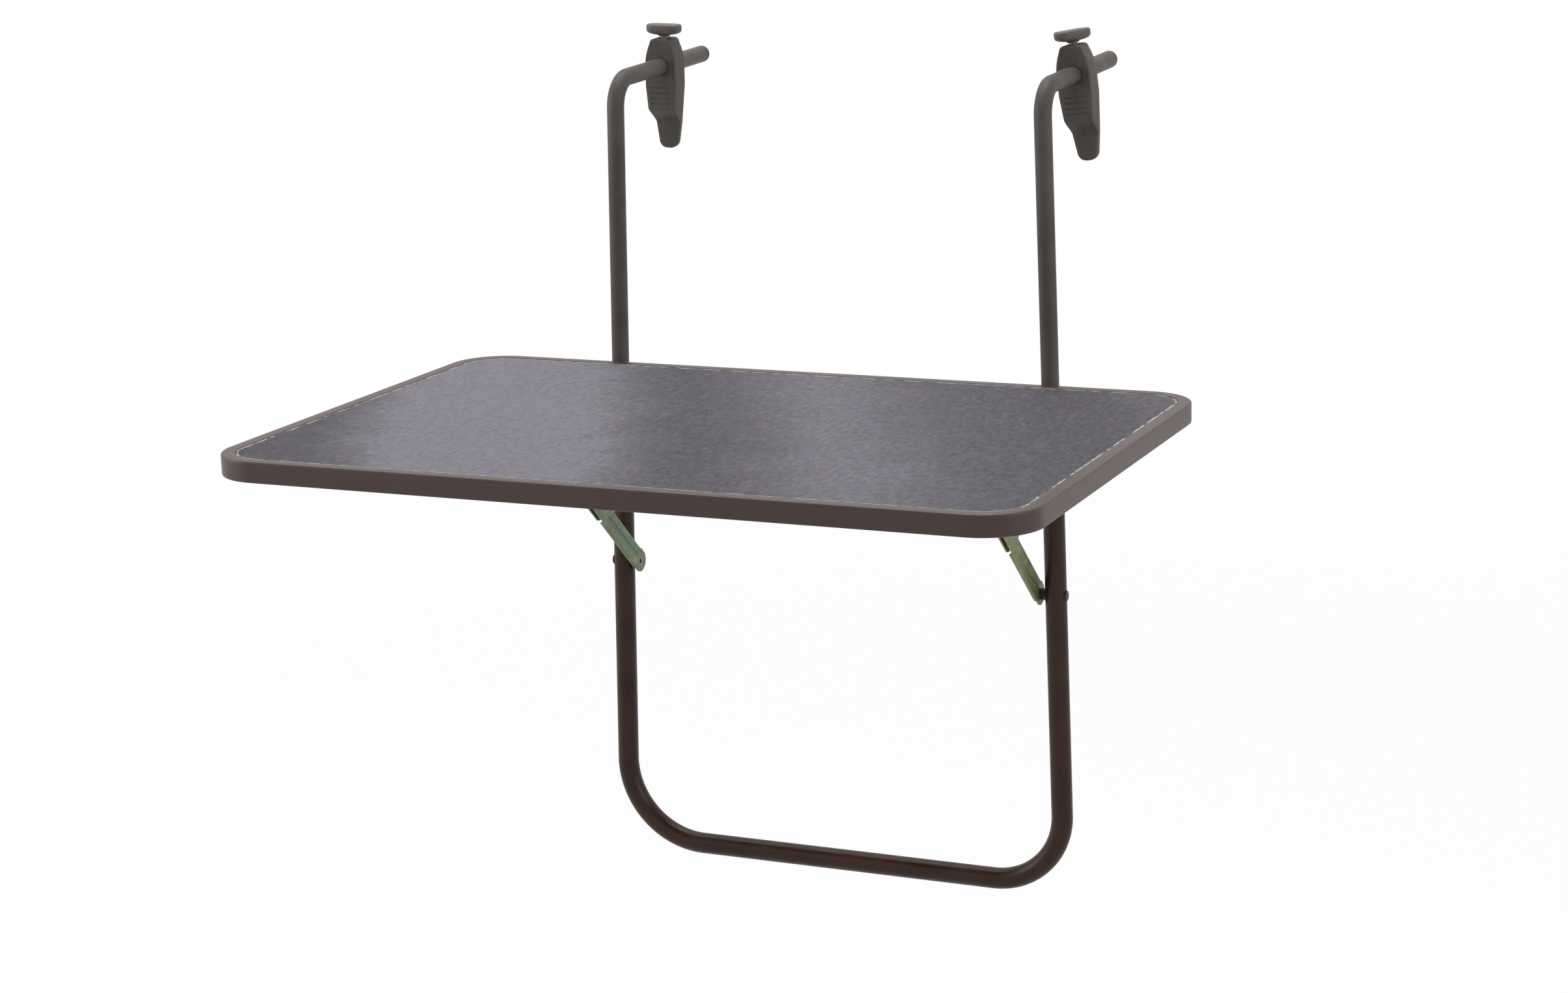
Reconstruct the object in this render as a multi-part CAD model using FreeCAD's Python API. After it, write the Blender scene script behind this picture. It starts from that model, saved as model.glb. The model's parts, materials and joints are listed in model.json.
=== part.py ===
"""Folding table that hangs on a balcony railing, built piece by piece in millimetres.

Frame of the model: the origin lies midway between the two hooks, in the plane of the legs, at the
height of the handrail's top, where the hook rods rest. +X runs along the railing, +Y goes over the
handrail and away from the user, and +Z is up. The table is open, as in use.
"""
import FreeCAD, Part
import math
import os

V = FreeCAD.Vector

# Hook rods and legs
HOOK_SPACING = 347.0          # between the rod axes, at the height of the arms
LEG_SPLAY_DEG = 1.18          # each leg leans outwards towards its foot
ROD_OD = 13.4
ROD_WALL = 1.5
ROD_CLEARANCE = 0.10          # radial, rod in tube and rod in clamp block
TUBE_WALL = 1.45
HOOK_BEND_R = 22.0            # centre line
ARM_RISE_DEG = 1.8            # the arms climb slightly away from the legs
HOOK_REACH = 165.0            # leg axis to the tip of the end cap, along the arm
ROD_OVERLAP = 130.0           # length of rod inside the tube
CAP_LENGTH = 6.5              # end cap beyond the rod
CAP_SPIGOT = 12.0
CAP_ROUND = 5.0

# U frame
FRAME_DROP = 607.6            # rail seat to the axis of the bottom bar
FRAME_BEND_R_RIGHT = 56.0     # centre line
FRAME_BEND_R_LEFT = 65.0      # centre line
TUBE_TOP_BELOW_TABLE = 8.0    # tube mouth below the table surface

# Table top
TOP_DROP = 211.6              # rail seat to the top of the rim
TOP_LENGTH = 600.0
TOP_DEPTH = 400.0
TOP_HEIGHT = 15.0
TOP_CORNER_R = 40.0
RIM_WALL = 1.2
RIM_EDGE_R = 0.9
LIP_WIDTH = 10.0
BACK_GAP = 3.0                # table edge to the front of the legs
LAMINATE = 0.8
LAMINATE_GAP = 0.3            # laminate edge to the rim's upper lip
BACKING = 0.6

# Table hinge
HINGE_DROP = 28.0             # hinge axis below the table surface
HINGE_PIN_R = 3.0
HINGE_BOSS_R = 7.5
HINGE_BOSS_PROUD = 7.3        # beyond the tube, towards the middle
HINGE_HEAD_R = 5.5
HINGE_HEAD = 2.2
HINGE_EAR = 2.5
HINGE_EAR_R = 9.0
HINGE_PIN_STOP = 0.8          # metal left between the pin's end and the tube
BRACKET_SHEET = 2.0
HINGE_FOOT_WIDTH = 22.0       # along X, beyond the ear
HINGE_FOOT_DEPTH = 34.0       # along Y
HINGE_SCREW_PITCH = 19.0
LIP_GAP = 0.5                 # bracket to the rim's lower lip

# Folding braces
LEG_PIVOT_DROP = 164.0        # leg pivot below the table surface
FOLDED_OFFSET = 16.0          # table pivot below the leg pivot when the table hangs down
LINK_WIDTH = 17.0
LINK_SHEET = 1.2
LINK_DEPTH = 2.6              # depth of the lower link's channel
CHANNEL_END = 78.0            # leg pivot to the end of the channel
CHANNEL_START = 5.0           # leg pivot to the start of the flanges
TONGUE_WIDTH = 14.0
GROOVE_WIDTH = 3.4
GROOVE_DEPTH = 1.1
GROOVE_START = 11.5
GROOVE_END = 71.0
CHEEK_START = 78.5            # leg pivot to the end of the upper link's cheeks
CHEEK_CORNER_R = 5.0
OUTER_CHEEK_BACK = 9.0        # outer cheek stops short of the leg pivot when folded
LEAF_GAP = 0.2                # sideways, between the links
WEB_GAP = 0.3                 # lower link's edge to the upper link's web
BRACE_LEG_GAP = 0.4           # outer cheek to the leg, when folded
RIVET_R = 2.5
RIVET_HEAD_R = 5.0
RIVET_HEAD = 1.3
TABLE_EAR = 2.2
TABLE_EAR_R = 6.5
BRACE_FOOT_WIDTH = 24.0
BRACE_FOOT_DEPTH = 30.0
BRACE_SCREW_PITCH = 17.0
BRACE_SCREW_INSET = 14.5      # ear to the line of screws
LEG_RIVET_R = 3.0
LEG_SHOULDER_R = 4.5
LEG_HEAD_R = 4.2
LEG_HEAD = 1.2
PIVOT_TUBE_R = 3.5
PIVOT_TUBE_BORE_R = 2.0

# Rail clamps
RAIL_GAP_RIGHT = 64.5         # leg to jaw, the depth of the handrail
RAIL_GAP_LEFT = 74.0
SWIVEL_RIGHT_DEG = 6.0        # the blocks lean inwards round their rods
SWIVEL_LEFT_DEG = 1.5
BLOCK_WIDTH = 26.4
BLOCK_DEPTH = 19.0
BLOCK_TOP = 21.85             # above the rod axis
BLOCK_CROWN_WIDTH = 10.0
BLOCK_EAVE_WIDTH = 18.0
BLOCK_EAVE = 18.3             # above the rod axis, where the crown turns into the sides
CROWN_ROUND_X = 7.8           # middle of the crown's rounded corner
CROWN_ROUND_Z = 20.8
BLOCK_SHOULDER = 1.0          # above the rod axis, where the full width begins
BLOCK_KNEE_WIDTH = 23.2
BLOCK_KNEE = 11.3             # above the rod axis, halfway up the curved sides
BLOCK_WAIST = 16.0            # below the rod axis, where the jaw begins to taper
JAW_FACE = 34.0               # below the rod axis, lower end of the gripping face
JAW_STEP = 46.0               # below the rod axis, where the thin tongue begins
JAW_DROP = 66.9               # below the rod axis, tip of the jaw
JAW_WIDTH = 20.7              # where the tongue begins
JAW_END_WIDTH = 16.5          # where the tip's corners begin
JAW_TIP_WIDTH = 3.0
JAW_TIP_ROUND = 7.0           # height of the tip's rounded corners
TONGUE_DEPTH = 6.5
CLAMP_SCREW_R = 3.0
SCREW_CLEARANCE = 0.10
INSERT_R = 4.5
INSERT_LENGTH = 10.0
INSERT_SINK = 1.5
SCREW_TIP_GAP = 0.3           # screw tip to the rod
KNOB_LENGTH = 29.5
KNOB_WIDTH = 15.0
KNOB_HEIGHT = 9.6             # foot of the neck to the top
KNOB_SLAB = 5.4               # upper part with upright sides
KNOB_NECK_R = 4.35
KNOB_NECK_FLAT = 0.5          # half the straight part of the neck's section
KNOB_NECK = 1.3
KNOB_BOWL = (0.04, 0.15, 0.35, 0.65)  # levels of the rounded underside, from neck to slab
KNOB_LIFT = 1.4               # neck above the block
KNOB_TOP_R = 1.8
SCREW_IN_KNOB = 5.0
KNOB_TURN_LEFT = 0.0
KNOB_TURN_RIGHT = 47.0

# Height locks
LOCK_DROP = 50.0              # lock screw below the table surface
LOCK_SCREW_R = 3.0
LOCK_NUT_ACROSS = 10.0
LOCK_NUT_PROUD = 4.5
LOCK_HEAD_ACROSS = 9.0
LOCK_HEAD = 4.0
LOCK_TIP_GAP = 0.2
LOCK_HEAD_GAP = 1.5

# Wood screws under the table
WOOD_SCREW_R = 2.0
WOOD_SCREW_LENGTH = 9.0
WOOD_HEAD_R = 3.8
WOOD_HEAD = 1.8
SCREW_HOLE_CLEARANCE = 0.2

RUNNING = 0.08                # radial clearance of every rivet that turns
SIDE_GAP = 0.3                # between faces that turn against each other
HEAD_ROUND = 0.65             # share of a head's height that is rounded
OVERCUT = 1.0                 # how far a cutting shape runs past what it cuts

# Derived places
ROD_R = ROD_OD / 2
ROD_BORE_R = ROD_R - ROD_WALL
BORE_R = ROD_R + ROD_CLEARANCE
TUBE_R = BORE_R + TUBE_WALL
SPLAY = math.radians(LEG_SPLAY_DEG)
ARM_Z = ROD_R
TOP_Z = -TOP_DROP
UNDER_Z = TOP_Z - TOP_HEIGHT
BOARD_TOP_Z = TOP_Z - RIM_WALL
BOARD_UNDER_Z = UNDER_Z + RIM_WALL
TABLE_BACK_Y = -TUBE_R - BACK_GAP
TABLE_MID_Y = TABLE_BACK_Y - TOP_DEPTH / 2
HINGE_Z = TOP_Z - HINGE_DROP
LEG_PIVOT_Z = TOP_Z - LEG_PIVOT_DROP
TABLE_PIVOT_Y = LEG_PIVOT_Z - FOLDED_OFFSET - HINGE_Z
TABLE_PIVOT_Z = HINGE_Z
BRACE_SPAN = math.hypot(TABLE_PIVOT_Y, TABLE_PIVOT_Z - LEG_PIVOT_Z)
LOWER_LINK = (BRACE_SPAN - FOLDED_OFFSET) / 2
UPPER_LINK = BRACE_SPAN - LOWER_LINK
BRACE_ANGLE = math.atan2(TABLE_PIVOT_Z - LEG_PIVOT_Z, -TABLE_PIVOT_Y)


def leg_x(z):
    """Distance of a leg's axis from the middle plane at height z."""
    return HOOK_SPACING / 2 + math.tan(SPLAY) * (ARM_Z - z)


# Sideways layers of a brace, from the leg towards the middle
KNUCKLE_FOLDED_Z = LEG_PIVOT_Z + LOWER_LINK
OUTER_CHEEK_X = leg_x(KNUCKLE_FOLDED_Z) - TUBE_R / math.cos(SPLAY) - BRACE_LEG_GAP
CHANNEL_MOUTH_X = OUTER_CHEEK_X - LINK_SHEET - LEAF_GAP
CHANNEL_WEB_X = CHANNEL_MOUTH_X - LINK_DEPTH
INNER_CHEEK_X = CHANNEL_WEB_X - LEAF_GAP - LINK_SHEET
BOSS_FACE_X = leg_x(HINGE_Z) - TUBE_R - HINGE_BOSS_PROUD


def block(x, y, z):
    """Box from three (low, high) pairs."""
    return Part.makeBox(x[1] - x[0], y[1] - y[0], z[1] - z[0], V(x[0], y[0], z[0]))


def rod_x(x0, x1, y, z, r):
    """Cylinder along X from x0 to x1."""
    return Part.makeCylinder(r, x1 - x0, V(x0, y, z), V(1, 0, 0))


def rod_y(y0, y1, x, z, r):
    """Cylinder along Y from y0 to y1."""
    return Part.makeCylinder(r, y1 - y0, V(x, y0, z), V(0, 1, 0))


def rod_z(z0, z1, x, y, r):
    """Cylinder along Z from z0 to z1."""
    return Part.makeCylinder(r, z1 - z0, V(x, y, z0), V(0, 0, 1))


def mirrored(shape):
    """The same shape on the other side of the middle plane."""
    return shape.mirror(V(0, 0, 0), V(1, 0, 0))


def joined(first, *others):
    """One clean solid from touching or overlapping shapes."""
    result = first
    for other in others:
        result = result.fuse(other)
    return result.removeSplitter()


def tilted(shape):
    """A shape built along a level arm, turned up with the arm's slope."""
    turned = shape.copy()
    turned.rotate(V(0, 0, ARM_Z), V(1, 0, 0), ARM_RISE_DEG)
    return turned


def rounded_corner(start, corner, end, r):
    """Lines from start to end round a corner, with an arc of radius r in it."""
    back = (start - corner).normalize()
    on = (end - corner).normalize()
    half_turn = back.getAngle(on) / 2
    tangent = r / math.tan(half_turn)
    inward = (back + on).normalize()
    middle = corner + inward * (r / math.sin(half_turn) - r)
    first, last = corner + back * tangent, corner + on * tangent
    return [
        Part.LineSegment(start, first).toShape(),
        Part.Arc(first, middle, last).toShape(),
        Part.LineSegment(last, end).toShape(),
    ]


def closed_face(points):
    """Flat face through the corner points."""
    return Part.Face(Part.makePolygon(points + [points[0]]))


def swept_tube(path, start, direction, r):
    """Solid of radius r along a wire that starts at a point in a direction."""
    ring = Part.Wire([Part.Edge(Part.Circle(start, direction, r))])
    return path.makePipeShell([ring], True, False)


def rounded_slab(inset, z0, z1):
    """Rounded rectangle of the table's outline, drawn in by inset."""
    half_x = TOP_LENGTH / 2 - inset
    half_y = TOP_DEPTH / 2 - inset
    slab = block((-half_x, half_x), (TABLE_MID_Y - half_y, TABLE_MID_Y + half_y), (z0, z1))
    upright = [e for e in slab.Edges if abs(e.Vertexes[0].Z - e.Vertexes[1].Z) > (z1 - z0) / 2]
    return slab.makeFillet(TOP_CORNER_R - inset, upright)


# Table top

def rim():
    """C section bent round the board, with a lip above and below it."""
    body = rounded_slab(0, UNDER_Z, TOP_Z)
    outline = [e for e in body.Edges if abs(e.Vertexes[0].Z - e.Vertexes[-1].Z) < RIM_WALL / 2]
    body = body.makeFillet(RIM_EDGE_R, outline)
    channel = rounded_slab(RIM_WALL, BOARD_UNDER_Z, BOARD_TOP_Z)
    window = rounded_slab(LIP_WIDTH, UNDER_Z - OVERCUT, TOP_Z + OVERCUT)
    return body.cut(channel).cut(window)


def board_layer(z0, z1):
    """One layer of the board, filling the rim's channel."""
    return rounded_slab(RIM_WALL, z0, z1)


def top_laminate():
    """Decor laminate inside the rim's upper lip, just below the lip's top."""
    return rounded_slab(LIP_WIDTH + LAMINATE_GAP, BOARD_TOP_Z, BOARD_TOP_Z + LAMINATE)


def wood_screw(x, y):
    """Pan head screw that points up into the board through a bracket's foot."""
    head_z = BOARD_UNDER_Z - BRACKET_SHEET
    shank = rod_z(head_z, head_z + WOOD_SCREW_LENGTH, x, y, WOOD_SCREW_R)
    head = rod_z(head_z - WOOD_HEAD, head_z, x, y, WOOD_HEAD_R)
    low = [e for e in head.Edges if e.BoundBox.ZMax < head_z - WOOD_HEAD / 2]
    return joined(head.makeFillet(WOOD_HEAD * HEAD_ROUND, low), shank)


# Table hinge

HINGE_EAR_X1 = BOSS_FACE_X - SIDE_GAP
HINGE_EAR_X0 = HINGE_EAR_X1 - HINGE_EAR
HINGE_FOOT_X0 = HINGE_EAR_X0 - HINGE_FOOT_WIDTH
HINGE_FOOT_Y1 = TABLE_BACK_Y - LIP_WIDTH - LIP_GAP
HINGE_FOOT_Y0 = HINGE_FOOT_Y1 - HINGE_FOOT_DEPTH
FOOT_Z0 = BOARD_UNDER_Z - BRACKET_SHEET


def foot_hole(x, y):
    """Clearance hole for a wood screw through a bracket's foot."""
    z0, z1 = FOOT_Z0 - OVERCUT, BOARD_UNDER_Z + OVERCUT
    return rod_z(z0, z1, x, y, WOOD_SCREW_R + SCREW_HOLE_CLEARANCE)


def hinge_bracket():
    """Foot under the board and an ear that reaches back to the hinge axis."""
    foot_y = (HINGE_FOOT_Y0, HINGE_FOOT_Y1)
    foot = block((HINGE_FOOT_X0, HINGE_EAR_X1), foot_y, (FOOT_Z0, BOARD_UNDER_Z))
    corners = [
        V(HINGE_EAR_X0, HINGE_FOOT_Y0, FOOT_Z0),
        V(HINGE_EAR_X0, HINGE_FOOT_Y1, FOOT_Z0),
        V(HINGE_EAR_X0, HINGE_FOOT_Y1, UNDER_Z - LIP_GAP),
        V(HINGE_EAR_X0, 0, UNDER_Z - LIP_GAP),
        V(HINGE_EAR_X0, 0, HINGE_Z - HINGE_EAR_R),
    ]
    gusset = closed_face(corners).extrude(V(HINGE_EAR, 0, 0))
    nose = rod_x(HINGE_EAR_X0, HINGE_EAR_X1, 0, HINGE_Z, HINGE_EAR_R)
    bore_r = HINGE_PIN_R + RUNNING
    bore = rod_x(HINGE_EAR_X0 - OVERCUT, HINGE_EAR_X1 + OVERCUT, 0, HINGE_Z, bore_r)
    bracket = joined(foot, gusset, nose).cut(bore)
    for x, y in hinge_screw_places():
        bracket = bracket.cut(foot_hole(x, y))
    return bracket


def hinge_screw_places():
    """Centres of the two screws of the right hinge bracket."""
    x = HINGE_EAR_X0 - HINGE_FOOT_WIDTH / 2
    middle = HINGE_FOOT_Y0 + HINGE_FOOT_DEPTH / 2
    return [(x, middle - HINGE_SCREW_PITCH / 2), (x, middle + HINGE_SCREW_PITCH / 2)]


def hinge_boss(tube_solid):
    """Turned boss, coped to the tube and bored for the hinge pin."""
    boss = rod_x(BOSS_FACE_X, leg_x(HINGE_Z), 0, HINGE_Z, HINGE_BOSS_R).cut(tube_solid)
    bore = rod_x(BOSS_FACE_X - OVERCUT, hinge_pin_end(), 0, HINGE_Z, HINGE_PIN_R)
    return boss.cut(bore)


def hinge_pin_end():
    """Where the hinge pin stops inside its boss."""
    return leg_x(HINGE_Z) - TUBE_R - HINGE_PIN_STOP


def hinge_pin():
    """Headed pin through the bracket's ear into the boss."""
    face = HINGE_EAR_X0 - SIDE_GAP
    head = rod_x(face - HINGE_HEAD, face, 0, HINGE_Z, HINGE_HEAD_R)
    rim_edge = [e for e in head.Edges if e.BoundBox.XMax < face - HINGE_HEAD / 2]
    head = head.makeFillet(HINGE_HEAD * HEAD_ROUND, rim_edge)
    return joined(head, rod_x(face, hinge_pin_end(), 0, HINGE_Z, HINGE_PIN_R))


# Frame

def leg_point(z):
    """Point on the right leg's axis."""
    return V(leg_x(z), 0, z)


def frame_path():
    """Centre line of the bent frame, from the right tube mouth round to the left one."""
    mouth = leg_point(TOP_Z - TUBE_TOP_BELOW_TABLE)
    corner = leg_point(-FRAME_DROP)
    middle = V(0, 0, corner.z)
    right = rounded_corner(mouth, corner, middle, FRAME_BEND_R_RIGHT)
    left_mouth, left_corner = V(-mouth.x, 0, mouth.z), V(-corner.x, 0, corner.z)
    left = rounded_corner(middle, left_corner, left_mouth, FRAME_BEND_R_LEFT)
    bottom = Part.LineSegment(right[2].Vertexes[0].Point, left[0].Vertexes[1].Point).toShape()
    edges = right[:2] + [bottom] + left[1:]
    return Part.Wire(edges), mouth, (corner - mouth).normalize()


def u_frame():
    """Bent tube with the holes of the leg rivets and the lock screws."""
    path, mouth, direction = frame_path()
    outer = swept_tube(path, mouth, direction, TUBE_R)
    tube = outer.cut(swept_tube(path, mouth, direction, BORE_R))
    span = leg_x(-FRAME_DROP) + TUBE_R
    tube = tube.cut(rod_x(-span, span, 0, LEG_PIVOT_Z, LEG_RIVET_R))
    lock_z = TOP_Z - LOCK_DROP
    for side in (1, -1):
        start = V(side * leg_x(lock_z), 0, lock_z)
        hole = Part.makeCylinder(LOCK_SCREW_R + SCREW_CLEARANCE, TUBE_R * 2, start, V(side, 0, 0))
        tube = tube.cut(hole)
    return tube, outer


def leg_rivet(tube_solid):
    """Shoulder rivet through the leg that carries the brace's lower link."""
    x_in = CHANNEL_MOUTH_X + SIDE_GAP
    x_out = leg_x(LEG_PIVOT_Z) + TUBE_R
    shank = rod_x(x_in, x_out, 0, LEG_PIVOT_Z, LEG_RIVET_R)
    shoulder = rod_x(x_in, leg_x(LEG_PIVOT_Z), 0, LEG_PIVOT_Z, LEG_SHOULDER_R).cut(tube_solid)
    head = rod_x(leg_x(LEG_PIVOT_Z), x_out + LEG_HEAD, 0, LEG_PIVOT_Z, LEG_HEAD_R)
    rim_edge = [e for e in head.Edges if e.BoundBox.XMin > x_out + LEG_HEAD / 2]
    head = head.makeFillet(LEG_HEAD * HEAD_ROUND, rim_edge).cut(tube_solid)
    return joined(shank, shoulder, head)


# Hook rods

def hook_path():
    """Centre line of the right hook rod, from its lower end to the end cap."""
    up = V(-math.sin(SPLAY), 0, math.cos(SPLAY))
    foot = leg_point(TOP_Z - TUBE_TOP_BELOW_TABLE) - up * ROD_OVERLAP
    corner = leg_point(ARM_Z)
    rise = math.radians(ARM_RISE_DEG)
    end = corner + V(0, math.cos(rise), math.sin(rise)) * (HOOK_REACH - CAP_LENGTH)
    return Part.Wire(rounded_corner(foot, corner, end, HOOK_BEND_R)), foot, up


def hook_rod():
    """Bent rod, hollow from end to end."""
    path, foot, up = hook_path()
    return swept_tube(path, foot, up, ROD_R).cut(swept_tube(path, foot, up, ROD_BORE_R))


def end_cap():
    """Domed plug in the open end of the hook rod."""
    x = leg_x(ARM_Z)
    y = HOOK_REACH - CAP_LENGTH
    dome = rod_y(y, HOOK_REACH, x, ARM_Z, ROD_R)
    rim_edge = [e for e in dome.Edges if e.BoundBox.YMin > HOOK_REACH - CAP_LENGTH / 2]
    dome = dome.makeFillet(CAP_ROUND, rim_edge)
    return tilted(joined(dome, rod_y(y - CAP_SPIGOT, y, x, ARM_Z, ROD_BORE_R)))


# Rail clamps, drawn on a level arm, then leant round the rod and tilted with the arm

CLAMP_X = leg_x(ARM_Z)
BLOCK_TOP_Z = ARM_Z + BLOCK_TOP


def block_outline(jaw_y):
    """Back view of a clamp block as edges in the plane of its jaw face."""
    half = BLOCK_WIDTH / 2
    knee = BLOCK_KNEE_WIDTH / 2
    eave = BLOCK_EAVE_WIDTH / 2
    crown = BLOCK_CROWN_WIDTH / 2
    jaw = JAW_WIDTH / 2
    jaw_end = JAW_END_WIDTH / 2
    tip = JAW_TIP_WIDTH / 2
    round_z = -JAW_DROP + JAW_TIP_ROUND
    bulge = math.sin(math.radians(45))
    round_x = tip + (jaw_end - tip) * bulge
    round_mid = round_z - JAW_TIP_ROUND * bulge

    def at(x, z):
        return V(CLAMP_X + x, jaw_y, ARM_Z + z)

    def side(k):
        """Edges of one side, from the crown down to the tip."""
        return [
            Part.Arc(at(k * crown, BLOCK_TOP), at(k * CROWN_ROUND_X, CROWN_ROUND_Z),
                     at(k * eave, BLOCK_EAVE)).toShape(),
            Part.Arc(at(k * eave, BLOCK_EAVE), at(k * knee, BLOCK_KNEE),
                     at(k * half, BLOCK_SHOULDER)).toShape(),
            Part.LineSegment(at(k * half, BLOCK_SHOULDER), at(k * half, -BLOCK_WAIST)).toShape(),
            Part.LineSegment(at(k * half, -BLOCK_WAIST), at(k * jaw, -JAW_STEP)).toShape(),
            Part.LineSegment(at(k * jaw, -JAW_STEP), at(k * jaw_end, round_z)).toShape(),
            Part.Arc(at(k * jaw_end, round_z), at(k * round_x, round_mid),
                     at(k * tip, -JAW_DROP)).toShape(),
        ]

    top = Part.LineSegment(at(-crown, BLOCK_TOP), at(crown, BLOCK_TOP)).toShape()
    bottom = Part.LineSegment(at(tip, -JAW_DROP), at(-tip, -JAW_DROP)).toShape()
    return [top] + side(1) + [bottom] + side(-1)


def clamp_block(jaw_y):
    """Jaw that slides on the hook rod: crowned block above, thin tongue behind the handrail."""
    wire = Part.Wire(Part.__sortEdges__(block_outline(jaw_y)))
    front = Part.Face(wire).extrude(V(0, BLOCK_DEPTH, 0))
    x0 = CLAMP_X - BLOCK_WIDTH
    step_y = jaw_y + BLOCK_DEPTH - TONGUE_DEPTH
    back_y = jaw_y + BLOCK_DEPTH
    side = closed_face([
        V(x0, jaw_y, BLOCK_TOP_Z), V(x0, jaw_y, ARM_Z - JAW_FACE), V(x0, step_y, ARM_Z - JAW_STEP),
        V(x0, step_y, ARM_Z - JAW_DROP), V(x0, back_y, ARM_Z - JAW_DROP), V(x0, back_y, BLOCK_TOP_Z),
    ]).extrude(V(BLOCK_WIDTH * 2, 0, 0))
    body = front.common(side)
    body = body.cut(rod_y(jaw_y - OVERCUT, back_y + OVERCUT, CLAMP_X, ARM_Z, BORE_R))
    screw_y = jaw_y + BLOCK_DEPTH / 2
    screw_hole_r = CLAMP_SCREW_R + SCREW_CLEARANCE
    body = body.cut(rod_z(ARM_Z, BLOCK_TOP_Z + OVERCUT, CLAMP_X, screw_y, screw_hole_r))
    pocket_z = BLOCK_TOP_Z - INSERT_SINK - INSERT_LENGTH
    return body.cut(rod_z(pocket_z, BLOCK_TOP_Z + OVERCUT, CLAMP_X, screw_y, INSERT_R))


def clamp_insert(screw_y):
    """Threaded brass insert near the top of the block."""
    z1 = BLOCK_TOP_Z - INSERT_SINK
    z0 = z1 - INSERT_LENGTH
    body = rod_z(z0, z1, CLAMP_X, screw_y, INSERT_R)
    hole_r = CLAMP_SCREW_R + SCREW_CLEARANCE
    return body.cut(rod_z(z0 - OVERCUT, z1 + OVERCUT, CLAMP_X, screw_y, hole_r))


def clamp_screw(screw_y):
    """Stud of the knob, which presses on the rod."""
    z0 = ARM_Z + ROD_R + SCREW_TIP_GAP
    z1 = BLOCK_TOP_Z + KNOB_LIFT + SCREW_IN_KNOB
    return rod_z(z0, z1, CLAMP_X, screw_y, CLAMP_SCREW_R)


def oval(screw_y, z, straight, r):
    """Level wire with two straight sides and two round ends."""
    x0, x1 = CLAMP_X - straight, CLAMP_X + straight
    y0, y1 = screw_y - r, screw_y + r
    return Part.Wire([
        Part.LineSegment(V(x0, y0, z), V(x1, y0, z)).toShape(),
        Part.Arc(V(x1, y0, z), V(x1 + r, screw_y, z), V(x1, y1, z)).toShape(),
        Part.LineSegment(V(x1, y1, z), V(x0, y1, z)).toShape(),
        Part.Arc(V(x0, y1, z), V(x0 - r, screw_y, z), V(x0, y0, z)).toShape(),
    ])


def knob(screw_y, turn):
    """Oval bar knob that narrows to a neck, turned about the screw's axis."""
    z0 = BLOCK_TOP_Z + KNOB_LIFT
    neck_z = z0 + KNOB_NECK
    top_z = z0 + KNOB_HEIGHT
    slab_z = top_z - KNOB_SLAB
    straight = (KNOB_LENGTH - KNOB_WIDTH) / 2
    r = KNOB_WIDTH / 2
    slab = Part.Face(oval(screw_y, slab_z, straight, r)).extrude(V(0, 0, KNOB_SLAB))
    top = [e for e in slab.Edges if e.BoundBox.ZMin > top_z - KNOB_SLAB / 2]
    slab = slab.makeFillet(KNOB_TOP_R, top)
    bowl = []
    for level in (0.0,) + KNOB_BOWL + (1.0,):
        growth = math.sqrt(1 - (1 - level) ** 2)
        level_straight = KNOB_NECK_FLAT + (straight - KNOB_NECK_FLAT) * growth
        level_r = KNOB_NECK_R + (r - KNOB_NECK_R) * growth
        bowl.append(oval(screw_y, neck_z + (slab_z - neck_z) * level, level_straight, level_r))
    under = Part.makeLoft(bowl, True, True)
    neck = Part.Face(oval(screw_y, z0, KNOB_NECK_FLAT, KNOB_NECK_R)).extrude(V(0, 0, KNOB_NECK))
    body = joined(slab, under, neck)
    body = body.cut(rod_z(z0 - OVERCUT, z0 + SCREW_IN_KNOB, CLAMP_X, screw_y, CLAMP_SCREW_R))
    body.rotate(V(CLAMP_X, screw_y, 0), V(0, 0, 1), turn)
    return body


def clamp_pieces(rail_gap, lean, turn):
    """Every piece of a right-hand clamp in its place on the arm, by name."""
    jaw_y = ROD_R + rail_gap
    screw_y = jaw_y + BLOCK_DEPTH / 2
    pieces = {
        "clamp_block": clamp_block(jaw_y),
        "clamp_insert": clamp_insert(screw_y),
        "clamp_screw": clamp_screw(screw_y),
        "knob": knob(screw_y, turn),
    }
    for piece in pieces.values():
        piece.rotate(V(CLAMP_X, 0, ARM_Z), V(0, 1, 0), -lean)
    return {name: tilted(piece) for name, piece in pieces.items()}


# Height locks

LOCK_Z = TOP_Z - LOCK_DROP
LOCK_NUT_X1 = leg_x(LOCK_Z) + TUBE_R + LOCK_NUT_PROUD


def hexagon(x0, x1, z, across):
    """Hexagonal prism along X."""
    corner = across / math.sqrt(3)
    turns = [math.radians(60 * k) for k in range(6)]
    ring = [V(x0, corner * math.cos(turn), z + corner * math.sin(turn)) for turn in turns]
    return closed_face(ring).extrude(V(x1 - x0, 0, 0))


def lock_nut(tube_solid):
    """Nut welded to the outside of the tube."""
    body = hexagon(leg_x(LOCK_Z), LOCK_NUT_X1, LOCK_Z, LOCK_NUT_ACROSS).cut(tube_solid)
    return body.cut(rod_x(leg_x(LOCK_Z), LOCK_NUT_X1 + OVERCUT, 0, LOCK_Z, LOCK_SCREW_R))


def lock_screw():
    """Hexagon screw in the welded nut, which presses on the rod inside the tube."""
    tip = leg_x(LOCK_Z) + ROD_R / math.cos(SPLAY) + LOCK_TIP_GAP
    head_x = LOCK_NUT_X1 + LOCK_HEAD_GAP
    shank = rod_x(tip, head_x, 0, LOCK_Z, LOCK_SCREW_R)
    return joined(shank, hexagon(head_x, head_x + LOCK_HEAD, LOCK_Z, LOCK_HEAD_ACROSS))


# Folding braces, drawn along a straight line from the leg pivot and then tilted into place

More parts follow.
